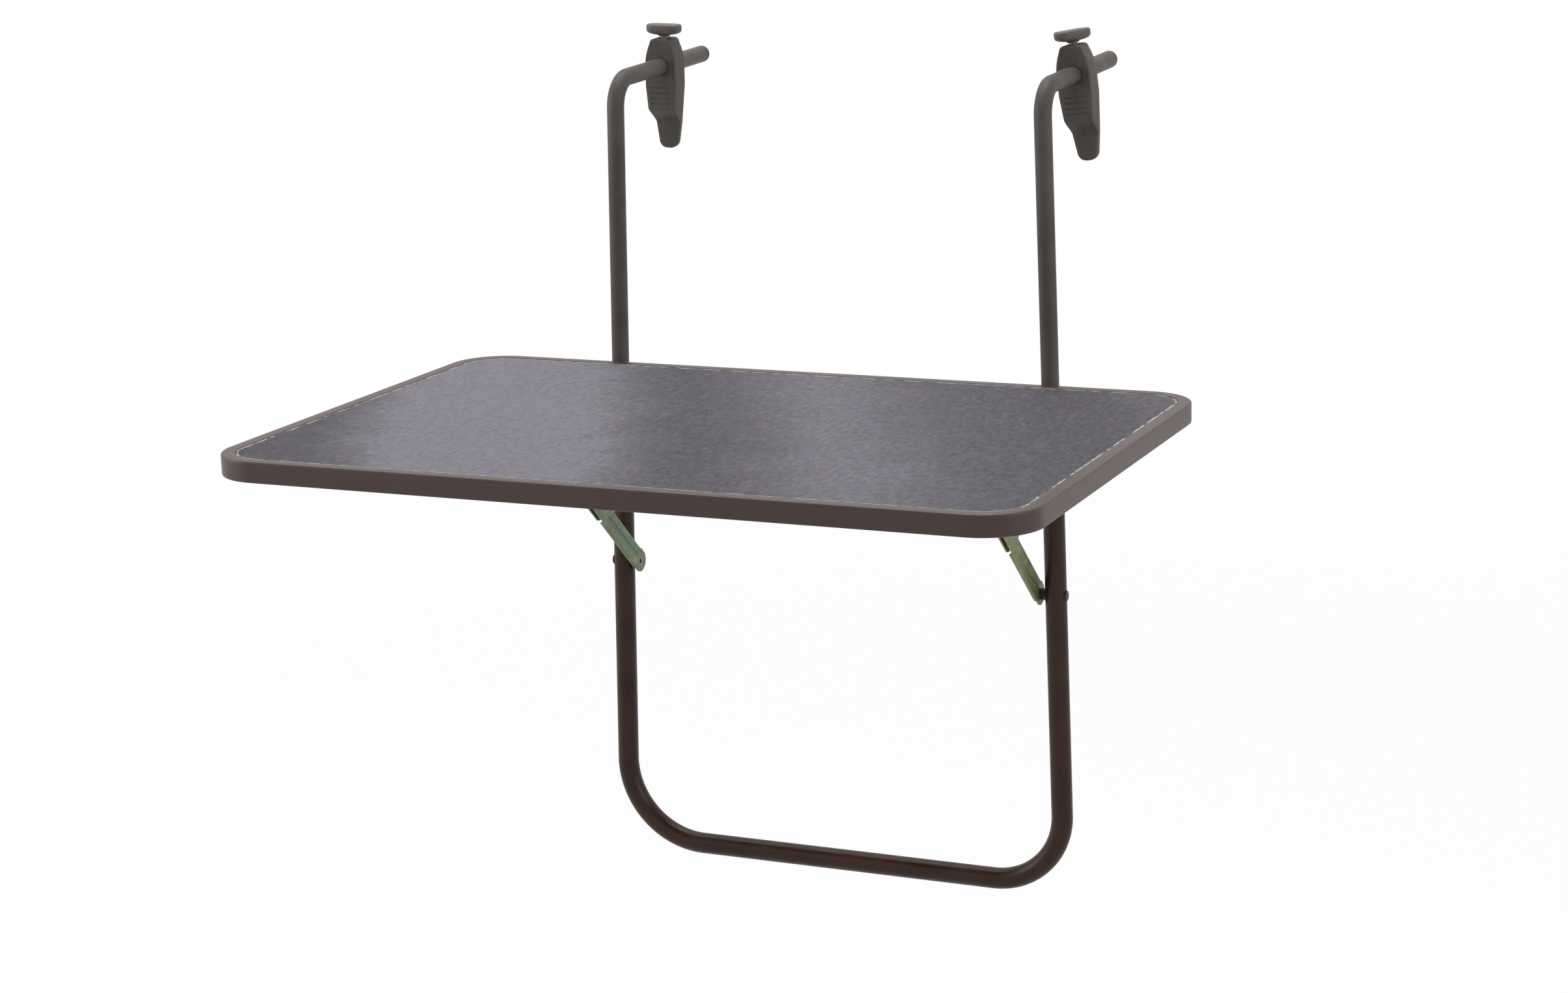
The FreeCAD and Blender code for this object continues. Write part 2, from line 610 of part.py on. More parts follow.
def along(x, u, n):
    """Point of a brace: u along it from the leg pivot, n towards its back."""
    c, s = math.cos(BRACE_ANGLE), math.sin(BRACE_ANGLE)
    return V(x, -u * c + n * s, LEG_PIVOT_Z + u * s + n * c)


def strip(x0, x1, outline):
    """Plate across X from (u, n) corner points."""
    return closed_face([along(x0, u, n) for u, n in outline]).extrude(V(x1 - x0, 0, 0))


def disc(x0, x1, u, r, n=0.0):
    """Round plate or hole at a place along the brace."""
    centre = along(x0, u, n)
    return rod_x(x0, x1, centre.y, centre.z, r)


def bar(x0, x1, u0, u1, n0, n1):
    """Rectangular plate along the brace."""
    return strip(x0, x1, [(u0, n0), (u1, n0), (u1, n1), (u0, n1)])


def lower_link():
    """Channel with a pressed groove and round end at the leg, and a flat tongue at the knuckle.

    The groove faces the middle of the table, as on the left side.
    """
    half = LINK_WIDTH / 2
    tongue = TONGUE_WIDTH / 2
    web1 = CHANNEL_WEB_X + LINK_SHEET
    bulge1 = web1 + GROOVE_DEPTH
    bulge = GROOVE_WIDTH / 2 + LINK_SHEET
    groove = GROOVE_WIDTH / 2
    link = joined(
        bar(CHANNEL_WEB_X, web1, 0, CHANNEL_END, -half, half),
        disc(CHANNEL_WEB_X, web1, 0, half),
        bar(CHANNEL_WEB_X, web1, CHANNEL_END, LOWER_LINK, -tongue, tongue),
        disc(CHANNEL_WEB_X, web1, LOWER_LINK, tongue),
        bar(web1, CHANNEL_MOUTH_X, CHANNEL_START, CHANNEL_END, -half, -half + LINK_SHEET),
        bar(web1, CHANNEL_MOUTH_X, CHANNEL_START, CHANNEL_END, half - LINK_SHEET, half),
        bar(web1, bulge1, GROOVE_START, GROOVE_END, -bulge, bulge),
        disc(web1, bulge1, GROOVE_START, bulge),
        disc(web1, bulge1, GROOVE_END, bulge),
    )
    floor = CHANNEL_WEB_X + GROOVE_DEPTH
    for hollow in (
        bar(CHANNEL_WEB_X - OVERCUT, floor, GROOVE_START, GROOVE_END, -groove, groove),
        disc(CHANNEL_WEB_X - OVERCUT, floor, GROOVE_START, groove),
        disc(CHANNEL_WEB_X - OVERCUT, floor, GROOVE_END, groove),
        disc(CHANNEL_WEB_X - OVERCUT, CHANNEL_MOUTH_X + OVERCUT, 0, PIVOT_TUBE_R),
        disc(CHANNEL_WEB_X - OVERCUT, CHANNEL_MOUTH_X + OVERCUT, LOWER_LINK, RIVET_R + RUNNING),
    ):
        link = link.cut(hollow)
    return link


def lower_link_turned():
    """The same link with its groove away from the middle of the table, as on the right side."""
    middle = (CHANNEL_WEB_X + CHANNEL_MOUTH_X) / 2
    return lower_link().mirror(V(middle, 0, 0), V(1, 0, 0))


def pivot_tube():
    """Tubular rivet, flush in the lower link's round end."""
    body = disc(CHANNEL_WEB_X, CHANNEL_MOUTH_X, 0, PIVOT_TUBE_R)
    return body.cut(disc(CHANNEL_WEB_X - OVERCUT, CHANNEL_MOUTH_X + OVERCUT, 0, PIVOT_TUBE_BORE_R))


def upper_link():
    """Two cheeks round the lower link, joined by a web that stops it when straight."""
    half = LINK_WIDTH / 2
    web_n = half + WEB_GAP
    back = web_n + LINK_SHEET
    outer_end = LOWER_LINK * 2 - OUTER_CHEEK_BACK
    inner0, inner1 = INNER_CHEEK_X, INNER_CHEEK_X + LINK_SHEET
    outer0, outer1 = OUTER_CHEEK_X - LINK_SHEET, OUTER_CHEEK_X
    r = CHEEK_CORNER_R

    def cheek(x0, x1, end):
        """Cheek with rounded lower corner, up to a distance from the leg pivot."""
        return joined(
            strip(x0, x1, [
                (CHEEK_START, -half + r), (CHEEK_START + r, -half),
                (end, -half), (end, web_n), (CHEEK_START, web_n),
            ]),
            disc(x0, x1, CHEEK_START + r, r, -half + r),
        )

    link = joined(
        cheek(inner0, inner1, outer_end),
        bar(inner0, inner1, outer_end, BRACE_SPAN, -half, half),
        disc(inner0, inner1, BRACE_SPAN, half),
        cheek(outer0, outer1, outer_end),
        bar(inner0, outer1, CHEEK_START, outer_end, web_n, back),
    )
    link = link.cut(disc(inner0 - OVERCUT, inner1 + OVERCUT, BRACE_SPAN, RIVET_R + RUNNING))
    return link.cut(disc(inner0 - OVERCUT, outer1 + OVERCUT, LOWER_LINK, RIVET_R))


def domed(x_face, x_end, u):
    """Rivet head that stands from a face to x_end, rounded away from it."""
    head = disc(min(x_face, x_end), max(x_face, x_end), u, RIVET_HEAD_R)
    outer = [e for e in head.Edges if abs(e.BoundBox.Center.x - x_end) < abs(x_end - x_face) / 4]
    return head.makeFillet(abs(x_end - x_face) * HEAD_ROUND, outer)


def knuckle_rivet():
    """Rivet through both cheeks and the lower link's tongue, flush on the outside."""
    return joined(
        disc(INNER_CHEEK_X, OUTER_CHEEK_X, LOWER_LINK, RIVET_R),
        domed(INNER_CHEEK_X, INNER_CHEEK_X - RIVET_HEAD, LOWER_LINK),
    )


TABLE_EAR_X0 = INNER_CHEEK_X + LINK_SHEET + SIDE_GAP
TABLE_EAR_X1 = TABLE_EAR_X0 + TABLE_EAR
BRACE_FOOT_X0 = TABLE_EAR_X0 - BRACE_FOOT_WIDTH


def table_rivet():
    """Rivet that carries the upper link on the table's bracket."""
    return joined(
        disc(INNER_CHEEK_X - SIDE_GAP, TABLE_EAR_X1, BRACE_SPAN, RIVET_R),
        domed(INNER_CHEEK_X - SIDE_GAP, INNER_CHEEK_X - SIDE_GAP - RIVET_HEAD, BRACE_SPAN),
        domed(TABLE_EAR_X1, TABLE_EAR_X1 + RIVET_HEAD, BRACE_SPAN),
    )


def brace_bracket():
    """Foot under the board with an ear between the brace's cheeks."""
    y0, y1 = TABLE_PIVOT_Y - BRACE_FOOT_DEPTH / 2, TABLE_PIVOT_Y + BRACE_FOOT_DEPTH / 2
    ear = block((TABLE_EAR_X0, TABLE_EAR_X1), (TABLE_PIVOT_Y - TABLE_EAR_R, TABLE_PIVOT_Y + TABLE_EAR_R),
                (TABLE_PIVOT_Z, BOARD_UNDER_Z))
    bracket = joined(
        block((BRACE_FOOT_X0, TABLE_EAR_X1), (y0, y1), (FOOT_Z0, BOARD_UNDER_Z)),
        ear,
        rod_x(TABLE_EAR_X0, TABLE_EAR_X1, TABLE_PIVOT_Y, TABLE_PIVOT_Z, TABLE_EAR_R),
    )
    bracket = bracket.cut(disc(TABLE_EAR_X0 - OVERCUT, TABLE_EAR_X1 + OVERCUT, BRACE_SPAN, RIVET_R))
    for x, y in brace_screw_places():
        bracket = bracket.cut(foot_hole(x, y))
    return bracket


def brace_screw_places():
    """Centres of the two screws of the right brace bracket."""
    x = TABLE_EAR_X0 - BRACE_SCREW_INSET
    return [(x, TABLE_PIVOT_Y - BRACE_SCREW_PITCH / 2), (x, TABLE_PIVOT_Y + BRACE_SCREW_PITCH / 2)]


def both_sides(places):
    """Places of the right side and of the left side."""
    return places + [(-x, y) for x, y in places]


def main():
    """Build every piece and write one file for each."""
    os.makedirs("parts", exist_ok=True)
    tube, tube_solid = u_frame()
    hinge_screws = Part.makeCompound([wood_screw(x, y) for x, y in both_sides(hinge_screw_places())])
    brace_screws = Part.makeCompound([wood_screw(x, y) for x, y in both_sides(brace_screw_places())])
    core_under = BOARD_UNDER_Z + BACKING
    core = board_layer(core_under, BOARD_TOP_Z)
    backing = board_layer(BOARD_UNDER_Z, core_under)
    for x, y in both_sides(hinge_screw_places() + brace_screw_places()):
        pilot = rod_z(BOARD_UNDER_Z, FOOT_Z0 + WOOD_SCREW_LENGTH, x, y, WOOD_SCREW_R)
        core = core.cut(pilot)
        backing = backing.cut(pilot)

    single = {
        "u_frame": tube,
        "rim": rim(),
        "board_core": core,
        "top_laminate": top_laminate(),
        "backing_sheet": backing,
        "hinge_bracket_screws": hinge_screws,
        "brace_bracket_screws": brace_screws,
    }
    paired = {
        "hook_rod": hook_rod(),
        "end_cap": end_cap(),
        "lock_nut": lock_nut(tube_solid),
        "lock_screw": lock_screw(),
        "hinge_boss": hinge_boss(tube_solid),
        "hinge_pin": hinge_pin(),
        "hinge_bracket": hinge_bracket(),
        "leg_rivet": leg_rivet(tube_solid),
        "brace_upper": upper_link(),
        "pivot_tube": pivot_tube(),
        "knuckle_rivet": knuckle_rivet(),
        "table_rivet": table_rivet(),
        "brace_bracket": brace_bracket(),
    }
    nodes = dict(single)
    for name, shape in paired.items():
        nodes[name + "_right"] = shape
        nodes[name + "_left"] = mirrored(shape)
    nodes["brace_lower_right"] = lower_link_turned()
    nodes["brace_lower_left"] = mirrored(lower_link())
    for name, shape in clamp_pieces(RAIL_GAP_RIGHT, SWIVEL_RIGHT_DEG, KNOB_TURN_RIGHT).items():
        nodes[name + "_right"] = shape
    for name, shape in clamp_pieces(RAIL_GAP_LEFT, SWIVEL_LEFT_DEG, KNOB_TURN_LEFT).items():
        nodes[name + "_left"] = mirrored(shape)
    for name, shape in nodes.items():
        shape.exportStep("parts/" + name + ".step")
        print(name, "solids", len(shape.Solids), "valid", shape.isValid(), "volume", round(shape.Volume, 1))
    print("brace links", round(LOWER_LINK, 3), round(UPPER_LINK, 3))
    print("brace angle", round(math.degrees(BRACE_ANGLE), 3))
    print("table pivot y", round(TABLE_PIVOT_Y, 3), "hinge z", HINGE_Z, "leg pivot z", LEG_PIVOT_Z)


main()
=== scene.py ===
"""Looks of a folding table that hangs on a balcony railing.

Sizes are in millimetres, in the part's own frame: the origin lies midway between the hooks at the
handrail's top, +X runs along the railing, +Y goes over the handrail and +Z is up.
"""

import json
import logging
import math
from collections.abc import Callable, Sequence
from dataclasses import dataclass
from enum import Enum

import bmesh
import bpy
from bpy.types import Material, Mesh, Node, NodeSocket, Object
from mathutils import Matrix, Vector

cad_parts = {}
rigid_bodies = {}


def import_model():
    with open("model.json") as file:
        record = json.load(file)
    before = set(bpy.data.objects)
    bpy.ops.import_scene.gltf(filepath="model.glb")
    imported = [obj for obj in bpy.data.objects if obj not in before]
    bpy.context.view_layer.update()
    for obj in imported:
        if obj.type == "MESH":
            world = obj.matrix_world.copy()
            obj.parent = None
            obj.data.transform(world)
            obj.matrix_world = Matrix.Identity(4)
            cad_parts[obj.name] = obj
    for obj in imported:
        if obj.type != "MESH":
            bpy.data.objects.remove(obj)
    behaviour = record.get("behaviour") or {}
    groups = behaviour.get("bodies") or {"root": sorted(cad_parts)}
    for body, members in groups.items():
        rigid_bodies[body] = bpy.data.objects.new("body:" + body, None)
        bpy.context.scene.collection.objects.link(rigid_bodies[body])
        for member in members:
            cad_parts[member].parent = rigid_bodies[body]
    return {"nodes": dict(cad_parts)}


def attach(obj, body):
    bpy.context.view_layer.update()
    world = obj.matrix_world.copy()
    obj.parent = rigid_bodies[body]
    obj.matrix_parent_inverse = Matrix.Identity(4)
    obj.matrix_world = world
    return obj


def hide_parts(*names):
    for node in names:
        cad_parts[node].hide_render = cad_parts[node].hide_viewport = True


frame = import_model()
log = logging.getLogger("railing_table")

METRE = 0.001
# Distances in metres below which points are one: as drawn, and after cutting and easing.
DOUBLED = 1e-7
SLIVER = 1e-6
# The range that a noise fills for the most part.
NOISE_SPAN = (0.3, 0.7)
# Radius of the last circle on an axis, which stands for its point.
POINT = 0.05
SQUARE = ((-1, -1), (1, -1), (1, 1), (-1, 1))
ALONG_X, ALONG_Y, ALONG_Z = Vector((1, 0, 0)), Vector((0, 1, 0)), Vector((0, 0, 1))
# Stands a plate up across X: its X becomes Y and its Y becomes Z.
UPRIGHT = Matrix(((0, 0, 1, 0), (1, 0, 0, 0), (0, 1, 0, 0), (0, 0, 0, 1)))
Colour = tuple[int, int, int]
Point2 = tuple[float, float]
Triple = tuple[float, float, float]


class Side(Enum):
    """The two mirrored sides of the table, seen by its user."""

    LEFT = -1
    RIGHT = 1

    @property
    def label(self) -> str:
        """Ending of the names of this side's nodes."""
        return self.name.lower()

    @property
    def mirror(self) -> Matrix:
        """Turns right-hand places into this side's places."""
        return Matrix.Diagonal((float(self.value), 1.0, 1.0, 1.0))


class Way(Enum):
    """How a cutting shape works on a piece."""

    CUT = "DIFFERENCE"
    KEEP = "INTERSECT"


@dataclass(frozen=True)
class Layout:
    """Sizes that several sub-assemblies share."""

    hook_spacing: float = 347.0
    splay_deg: float = 1.18
    arm_rise_deg: float = 1.8
    rod_r: float = 6.7
    rod_bore_r: float = 5.2
    tube_r: float = 8.25
    tube_bore_r: float = 6.8
    frame_drop: float = 607.6
    top_drop: float = 211.6
    top_length: float = 600.0
    top_depth: float = 400.0
    top_height: float = 15.0
    corner_r: float = 40.0
    back_gap: float = 3.0
    rim_wall: float = 1.2
    lip_width: float = 10.0
    tube_mouth_drop: float = 8.0
    hinge_drop: float = 28.0
    boss_proud: float = 7.3
    leg_pivot_drop: float = 164.0
    folded_offset: float = 16.0
    lock_drop: float = 50.0
    foot: float = 2.0
    play: float = 0.3
    link_gap: float = 0.2
    leg_gap: float = 0.4

    @property
    def splay(self) -> float:
        """Lean of each leg, in radians."""
        return math.radians(self.splay_deg)

    @property
    def top_z(self) -> float:
        """Height of the rim's top."""
        return -self.top_drop

    @property
    def under_z(self) -> float:
        """Height of the rim's underside."""
        return self.top_z - self.top_height

    @property
    def board_under_z(self) -> float:
        """Underside of the board, where the brackets' feet lie."""
        return self.under_z + self.rim_wall

    @property
    def foot_z(self) -> float:
        """Underside of the brackets' feet."""
        return self.board_under_z - self.foot

    @property
    def back_y(self) -> float:
        """Rear edge of the table."""
        return -self.tube_r - self.back_gap

    @property
    def mid_y(self) -> float:
        """Middle of the table from front to back."""
        return self.back_y - self.top_depth / 2

    @property
    def hinge_z(self) -> float:
        """Height of the table's hinge."""
        return self.top_z - self.hinge_drop

    @property
    def boss_x(self) -> float:
        """Inner face of the hinge bosses."""
        return self.leg_x(self.hinge_z) - self.tube_r - self.boss_proud

    @property
    def leg_pivot_z(self) -> float:
        """Height of the leg rivets."""
        return self.top_z - self.leg_pivot_drop

    @property
    def table_pivot_y(self) -> float:
        """Place of the braces' pivots under the table."""
        return self.leg_pivot_z - self.folded_offset - self.hinge_z

    @property
    def brace_span(self) -> float:
        """Distance between a brace's outer pivots when it is straight."""
        return math.hypot(self.table_pivot_y, self.hinge_z - self.leg_pivot_z)

    @property
    def lower_link(self) -> float:
        """Distance from the leg pivot to the knuckle."""
        return (self.brace_span - self.folded_offset) / 2

    @property
    def brace_tilt(self) -> float:
        """Slope of a straight brace, in radians."""
        return math.atan2(self.hinge_z - self.leg_pivot_z, -self.table_pivot_y)

    def leg_x(self, z: float) -> float:
        """Distance of a leg's axis from the middle plane at a height."""
        return self.hook_spacing / 2 + math.tan(self.splay) * (self.rod_r - z)

    def leg_point(self, z: float) -> Vector:
        """Point on the right leg's axis at a height."""
        return Vector((self.leg_x(z), 0.0, z))


PLAN = Layout()


# Shapes

def cleaned(mesh: Mesh, gap: float, turn_out: bool = False) -> Mesh:
    """Merges doubled points and drops faces without area.

    Args:
        mesh: The mesh to work on.
        gap: Distance below which two points are one, in metres.
        turn_out: Whether all faces are turned outwards too.

    Returns:
        The same mesh.
    """
    work = bmesh.new()
    work.from_mesh(mesh)
    bmesh.ops.remove_doubles(work, verts=work.verts, dist=gap)
    bmesh.ops.dissolve_degenerate(work, edges=work.edges, dist=gap)
    if turn_out:
        bmesh.ops.recalc_face_normals(work, faces=work.faces)
    work.to_mesh(mesh)
    work.free()
    return mesh


class Shape:
    """Points in millimetres and faces, gathered before they become a piece."""

    def __init__(self) -> None:
        """Starts with nothing."""
        self.points: list[Vector] = []
        self.faces: list[tuple[int, ...]] = []

    def ring(self, points: Sequence[Vector]) -> range:
        """Adds points and gives their numbers."""
        self.points += points
        return range(len(self.points) - len(points), len(self.points))

    def bridge(self, a: Sequence[int], b: Sequence[int]) -> None:
        """Joins two rings of the same length with a band of faces."""
        for i, j in enumerate([*range(1, len(a)), 0]):
            self.faces.append((a[i], a[j], b[j], b[i]))

    def cap(self, ring: Sequence[int]) -> None:
        """Closes a ring with one face."""
        self.faces.append(tuple(ring))

    def moved(self, matrix: Matrix) -> "Shape":
        """The same shape somewhere else.

        Args:
            matrix: Placement in millimetres, which may mirror.

        Returns:
            A new shape with its faces still looking outwards.
        """
        other = Shape()
        other.points = [matrix @ p for p in self.points]
        way = -1 if matrix.determinant() < 0 else 1
        other.faces = [f[::way] for f in self.faces]
        return other

    def with_shape(self, other: "Shape") -> "Shape":
        """Adds another shape to this one.

        Args:
            other: The shape to add.

        Returns:
            This shape.
        """
        numbers = self.ring(other.points)
        self.faces += [tuple(numbers[i] for i in f) for f in other.faces]
        return self

    def mesh(self, name: str) -> Mesh:
        """A mesh in metres, with its faces turned outwards.

        Args:
            name: Name of the mesh.

        Returns:
            The mesh.
        """
        mesh = bpy.data.meshes.new(name)
        mesh.from_pydata([p * METRE for p in self.points], [], self.faces)
        return cleaned(mesh, DOUBLED, turn_out=True)


def spaced(start: float, end: float, pieces: int) -> list[float]:
    """Evenly spaced numbers from start to end, with both."""
    return [start + (end - start) * k / pieces for k in range(pieces + 1)]


def angles(start: float, end: float, pieces: int) -> list[float]:
    """Evenly spaced angles, given in degrees, in radians."""
    return [math.radians(a) for a in spaced(start, end, pieces)]


def full_turn(pieces: int) -> list[float]:
    """Angles of the points round a circle."""
    return angles(0, 360, pieces)[:-1]


def loft(rings: Sequence[Sequence[Vector]], ends: bool = True) -> Shape:
    """Skin over a row of rings that have the same number of points.

    Args:
        rings: Closed rings in order.
        ends: Whether the first and last ring are closed.

    Returns:
        The skin.
    """
    shape = Shape()
    rows = [shape.ring(ring) for ring in rings]
    for a, b in zip(rows, rows[1:]):
        shape.bridge(a, b)
    if ends:
        shape.cap(rows[0][::-1])
        shape.cap(rows[-1])
    return shape


def turned(profile: Sequence[Point2], steps: int = 40, ends: bool = True) -> Shape:
    """Shape turned round the Z axis from (height, radius) pairs, with closed ends or open."""
    turns = full_turn(steps)
    return loft([[Vector((r * math.cos(t), r * math.sin(t), z)) for t in turns] for z, r in profile], ends)


def arc(centre: Point2, r: float, start: float, end: float, steps: int = 6) -> list[Point2]:
    """Points of a flat arc of some pieces, between two angles in degrees."""
    return [(centre[0] + r * math.cos(t), centre[1] + r * math.sin(t)) for t in angles(start, end, steps)]


def rounded_box(low: Point2, high: Point2, left_r: float, right_r: float, steps: int = 6) -> list[Point2]:
    """Flat rectangle with rounded corners, anticlockwise.

    Args:
        low: Its lower left corner.
        high: Its upper right corner.
        left_r: Radius of the left corners.
        right_r: Radius of the right corners.
        steps: Pieces in each corner.

    Returns:
        The outline's points.
    """
    left, right = low[0] + left_r, high[0] - right_r
    line = arc((left, low[1] + left_r), left_r, 180, 270, steps)
    line += arc((right, low[1] + right_r), right_r, 270, 360, steps)
    line += arc((right, high[1] - right_r), right_r, 0, 90, steps)
    return line + arc((left, high[1] - left_r), left_r, 90, 180, steps)


def plate(outline: Sequence[Point2], low: float, high: float, edge: float = 0.3) -> Shape:
    """Flat plate in the XY plane whose edges are eased.

    Args:
        outline: Its outline, anticlockwise, without sharp inner corners.
        low: Height of the lower face.
        high: Height of the upper face.
        edge: Size of the eased edges.

    Returns:
        The plate.
    """
    points = [Vector((a, b, 0)) for a, b in outline]
    chords = [after - before for before, after in zip(points[-1:] + points, points[1:] + points[:1])]
    inward = [Vector((-c.y, c.x, 0)).normalized() * edge for c in chords]
    ease = ((0.0, 1.0), (0.3, 0.3), (1.0, 0.0))
    levels = [(low + edge * rise, inset) for rise, inset in ease]
    levels += [(high - edge * rise, inset) for rise, inset in reversed(ease)]
    return loft([[p + n * inset + ALONG_Z * z for p, n in zip(points, inward)] for z, inset in levels])


class Route:
    """Flat line in space, round whose points a tube can be drawn."""

    def __init__(self, corners: Sequence[Vector], radii: Sequence[float], across: Vector) -> None:
        """Draws the line through its corners.

        Args:
            corners: Ends and corners in order.
            radii: Radius of each inner corner.
            across: Direction square to the plane of the line.
        """
        self.across = across.normalized()
        self.points = [corners[0]]
        for i, r in enumerate(radii, start=1):
            self.points += self._corner(*corners[i - 1:i + 2], r)
        self.points.append(corners[-1])
        self.reach = [0.0]
        for a, b in zip(self.points, self.points[1:]):
            self.reach.append(self.reach[-1] + (b - a).length)

    @staticmethod
    def _corner(before: Vector, corner: Vector, after: Vector, r: float) -> list[Vector]:
        """Rounds a corner.

        Args:
            before: A point on the line that comes in.
            corner: The corner.
            after: A point on the line that goes out.
            r: Radius of the arc.

        Returns:
            The arc's points.
        """
        back, on = (before - corner).normalized(), (after - corner).normalized()
        half = back.angle(on) / 2
        to_centre = (back + on).normalized() * (r / math.sin(half))
        u, v = (way * (r / math.tan(half)) - to_centre for way in (back, on))
        turn = u.angle(v)
        shares = spaced(0, 1, max(6, round(math.degrees(turn) / 3)))
        return [
            corner + to_centre + (u * math.sin((1 - t) * turn) + v * math.sin(t * turn)) / math.sin(turn)
            for t in shares
        ]

    def at(self, distance: float) -> tuple[Vector, Vector]:
        """Finds a place on the line.

        Args:
            distance: Distance along the line.

        Returns:
            The point and the line's direction there.
        """
        i = 0
        while i < len(self.reach) - 2 and self.reach[i + 1] < distance:
            i += 1
        share = (distance - self.reach[i]) / (self.reach[i + 1] - self.reach[i])
        point = self.points[i].lerp(self.points[i + 1], share)
        return point, self._direction(i).lerp(self._direction(i + 1), share).normalized()

    def _direction(self, i: int) -> Vector:
        """Direction of the line at one of its points."""
        low, high = max(i - 1, 0), min(i + 1, len(self.points) - 1)
        return (self.points[high] - self.points[low]).normalized()

    def ring(self, distance: float, r: float, steps: int) -> list[Vector]:
        """Circle round the line.

        Args:
            distance: Its place along the line.
            r: Its radius.
            steps: Its number of points.

        Returns:
            Its points.
        """
        point, direction = self.at(distance)
        other = direction.cross(self.across).normalized()
        return [point + (self.across * math.cos(t) + other * math.sin(t)) * r for t in full_turn(steps)]


def pipe(route: Route, r: float, bore: float, deep: float, steps: int = 40) -> Shape:
    """Hollow tube along a line, with rounded mouths.

    Args:
        route: Its centre line.
        r: Outer radius.
        bore: Radius of its hollow.
        deep: How far the hollow goes in from each mouth.
        steps: Points round the tube.

    Returns:
        The tube.
    """
    lip, mid, end = (r - bore) / 2, (r + bore) / 2, route.reach[-1]
    mouth = [(lip - lip * math.sin(t), mid - lip * math.cos(t)) for t in angles(0, 180, 8)]
    low, high = lip * 2, end - lip * 2
    places = sorted({s for s in route.reach if low < s < high} | set(spaced(low, high, 60)))
    spots = [(deep, bore)] + mouth + [(s, r) for s in places]
    spots += [(end - s, radius) for s, radius in reversed(mouth)] + [(end - deep, bore)]
    return loft([route.ring(s, radius, steps) for s, radius in spots])


def threaded(z0: float, z1: float, r: float, pitch: float = 1.0, steps: int = 28) -> Shape:
    """Screw thread round the Z axis, with chamfered ends.

    Args:
        z0: Lower end.
        z1: Upper end.
        r: Outer radius.
        pitch: Rise of the thread in one turn.
        steps: Points round the thread.

    Returns:
        The threaded stud.
    """
    depth, flank, crest, rows_per_turn = 0.6 * pitch, 1.25, 0.12, 7
    rings = []
    for z in spaced(z0, z1, max(8, round((z1 - z0) / pitch * rows_per_turn))):
        limit = r - depth + min(z - z0, z1 - z, depth)
        ring = []
        for k, turn in enumerate(full_turn(steps)):
            tooth = abs((z / pitch - k / steps) % 1.0 * 2 - 1)
            radius = min(limit, r - depth * min(1.0, max(0.0, flank * tooth - crest)))
            ring.append(Vector((radius * math.cos(turn), radius * math.sin(turn), z)))
        rings.append(ring)
    return loft(rings)


def facing(origin: Vector, axis: Vector) -> Matrix:
    """Placement that turns +Z to an axis and moves the origin."""
    return Matrix.Translation(origin) @ ALONG_Z.rotation_difference(axis).to_matrix().to_4x4()


def across(x: float, y: float, z: float) -> Matrix:
    """Placement that lays +Z along +X at a point."""
    return facing(Vector((x, y, z)), ALONG_X)


def eased_end(z: float, r: float, edge: float) -> list[Point2]:
    """Profile of a turned part's lower edge, eased by some size."""
    return [(z, r - edge), (z + 0.2, r - 0.2), (z + edge, r)]


def domed_head(r: float, height: float, edge: float = 0.35) -> list[Point2]:
    """Profile of a domed rivet head on the plane z = 0, with an upright edge of some height."""
    crown = [(edge + (height - edge) * math.sin(t), r * math.cos(t)) for t in angles(0, 90, 8)]
    return [(0.0, r * 0.97), (edge * 0.4, r)] + crown[:-1] + [(height, r * 0.02)]


def lifted(profile: Sequence[Point2], rise: float) -> list[Point2]:
    """The same profile higher up."""
    return [(z + rise, r) for z, r in profile]


def turned_over(profile: Sequence[Point2]) -> list[Point2]:
    """The same profile below the plane z = 0, again from its lowest end."""
    return [(-z, r) for z, r in reversed(profile)]


# Pieces

def as_object(name: str, mesh: Mesh) -> Object:
    """Puts a mesh in the scene.

    Args:
        name: Name of the object.
        mesh: The mesh.

    Returns:
        The object.
    """
    thing = bpy.data.objects.new(name, mesh)
    bpy.context.scene.collection.objects.link(thing)
    return thing


def discard(thing: Object) -> None:
    """Removes an object and its mesh."""
    bpy.data.batch_remove((thing, thing.data))


def placed(thing: Object, matrix: Matrix) -> Object:
    """Moves an object's mesh.

    Args:
        thing: The object.
        matrix: Placement in millimetres, which may mirror.

    Returns:
        The same object.
    """
    matrix = matrix.copy()
    matrix.translation = matrix.translation * METRE
    thing.data.transform(matrix)
    if matrix.determinant() < 0:
        thing.data.flip_normals()
    return thing


def modified(thing: Object, kind: str, **settings: object) -> Object:
    """Changes an object's mesh with one modifier.

    Args:
        thing: The object.
        kind: The kind of modifier.
        settings: Its settings.

    Returns:
        The same object.
    """
    change = thing.modifiers.new(kind, kind)
    for key, value in settings.items():
        setattr(change, key, value)
    graph = bpy.context.evaluated_depsgraph_get()
    graph.update()
    mesh = bpy.data.meshes.new_from_object(thing.evaluated_get(graph))
    thing.modifiers.clear()
    old, thing.data = thing.data, mesh
    bpy.data.meshes.remove(old)
    return thing


def carved(thing: Object, tool: Shape, way: Way = Way.CUT) -> Object:
    """Cuts an object with a shape, or keeps only what lies inside it.

    Args:
        thing: The object to work on.
        tool: The cutting shape.
        way: What the shape does.

    Returns:
        The same object.
    """
    cutter = as_object("cutter", tool.mesh("cutter"))
    modified(thing, "BOOLEAN", operation=way.value, solver="EXACT", object=cutter)
    discard(cutter)
    return thing


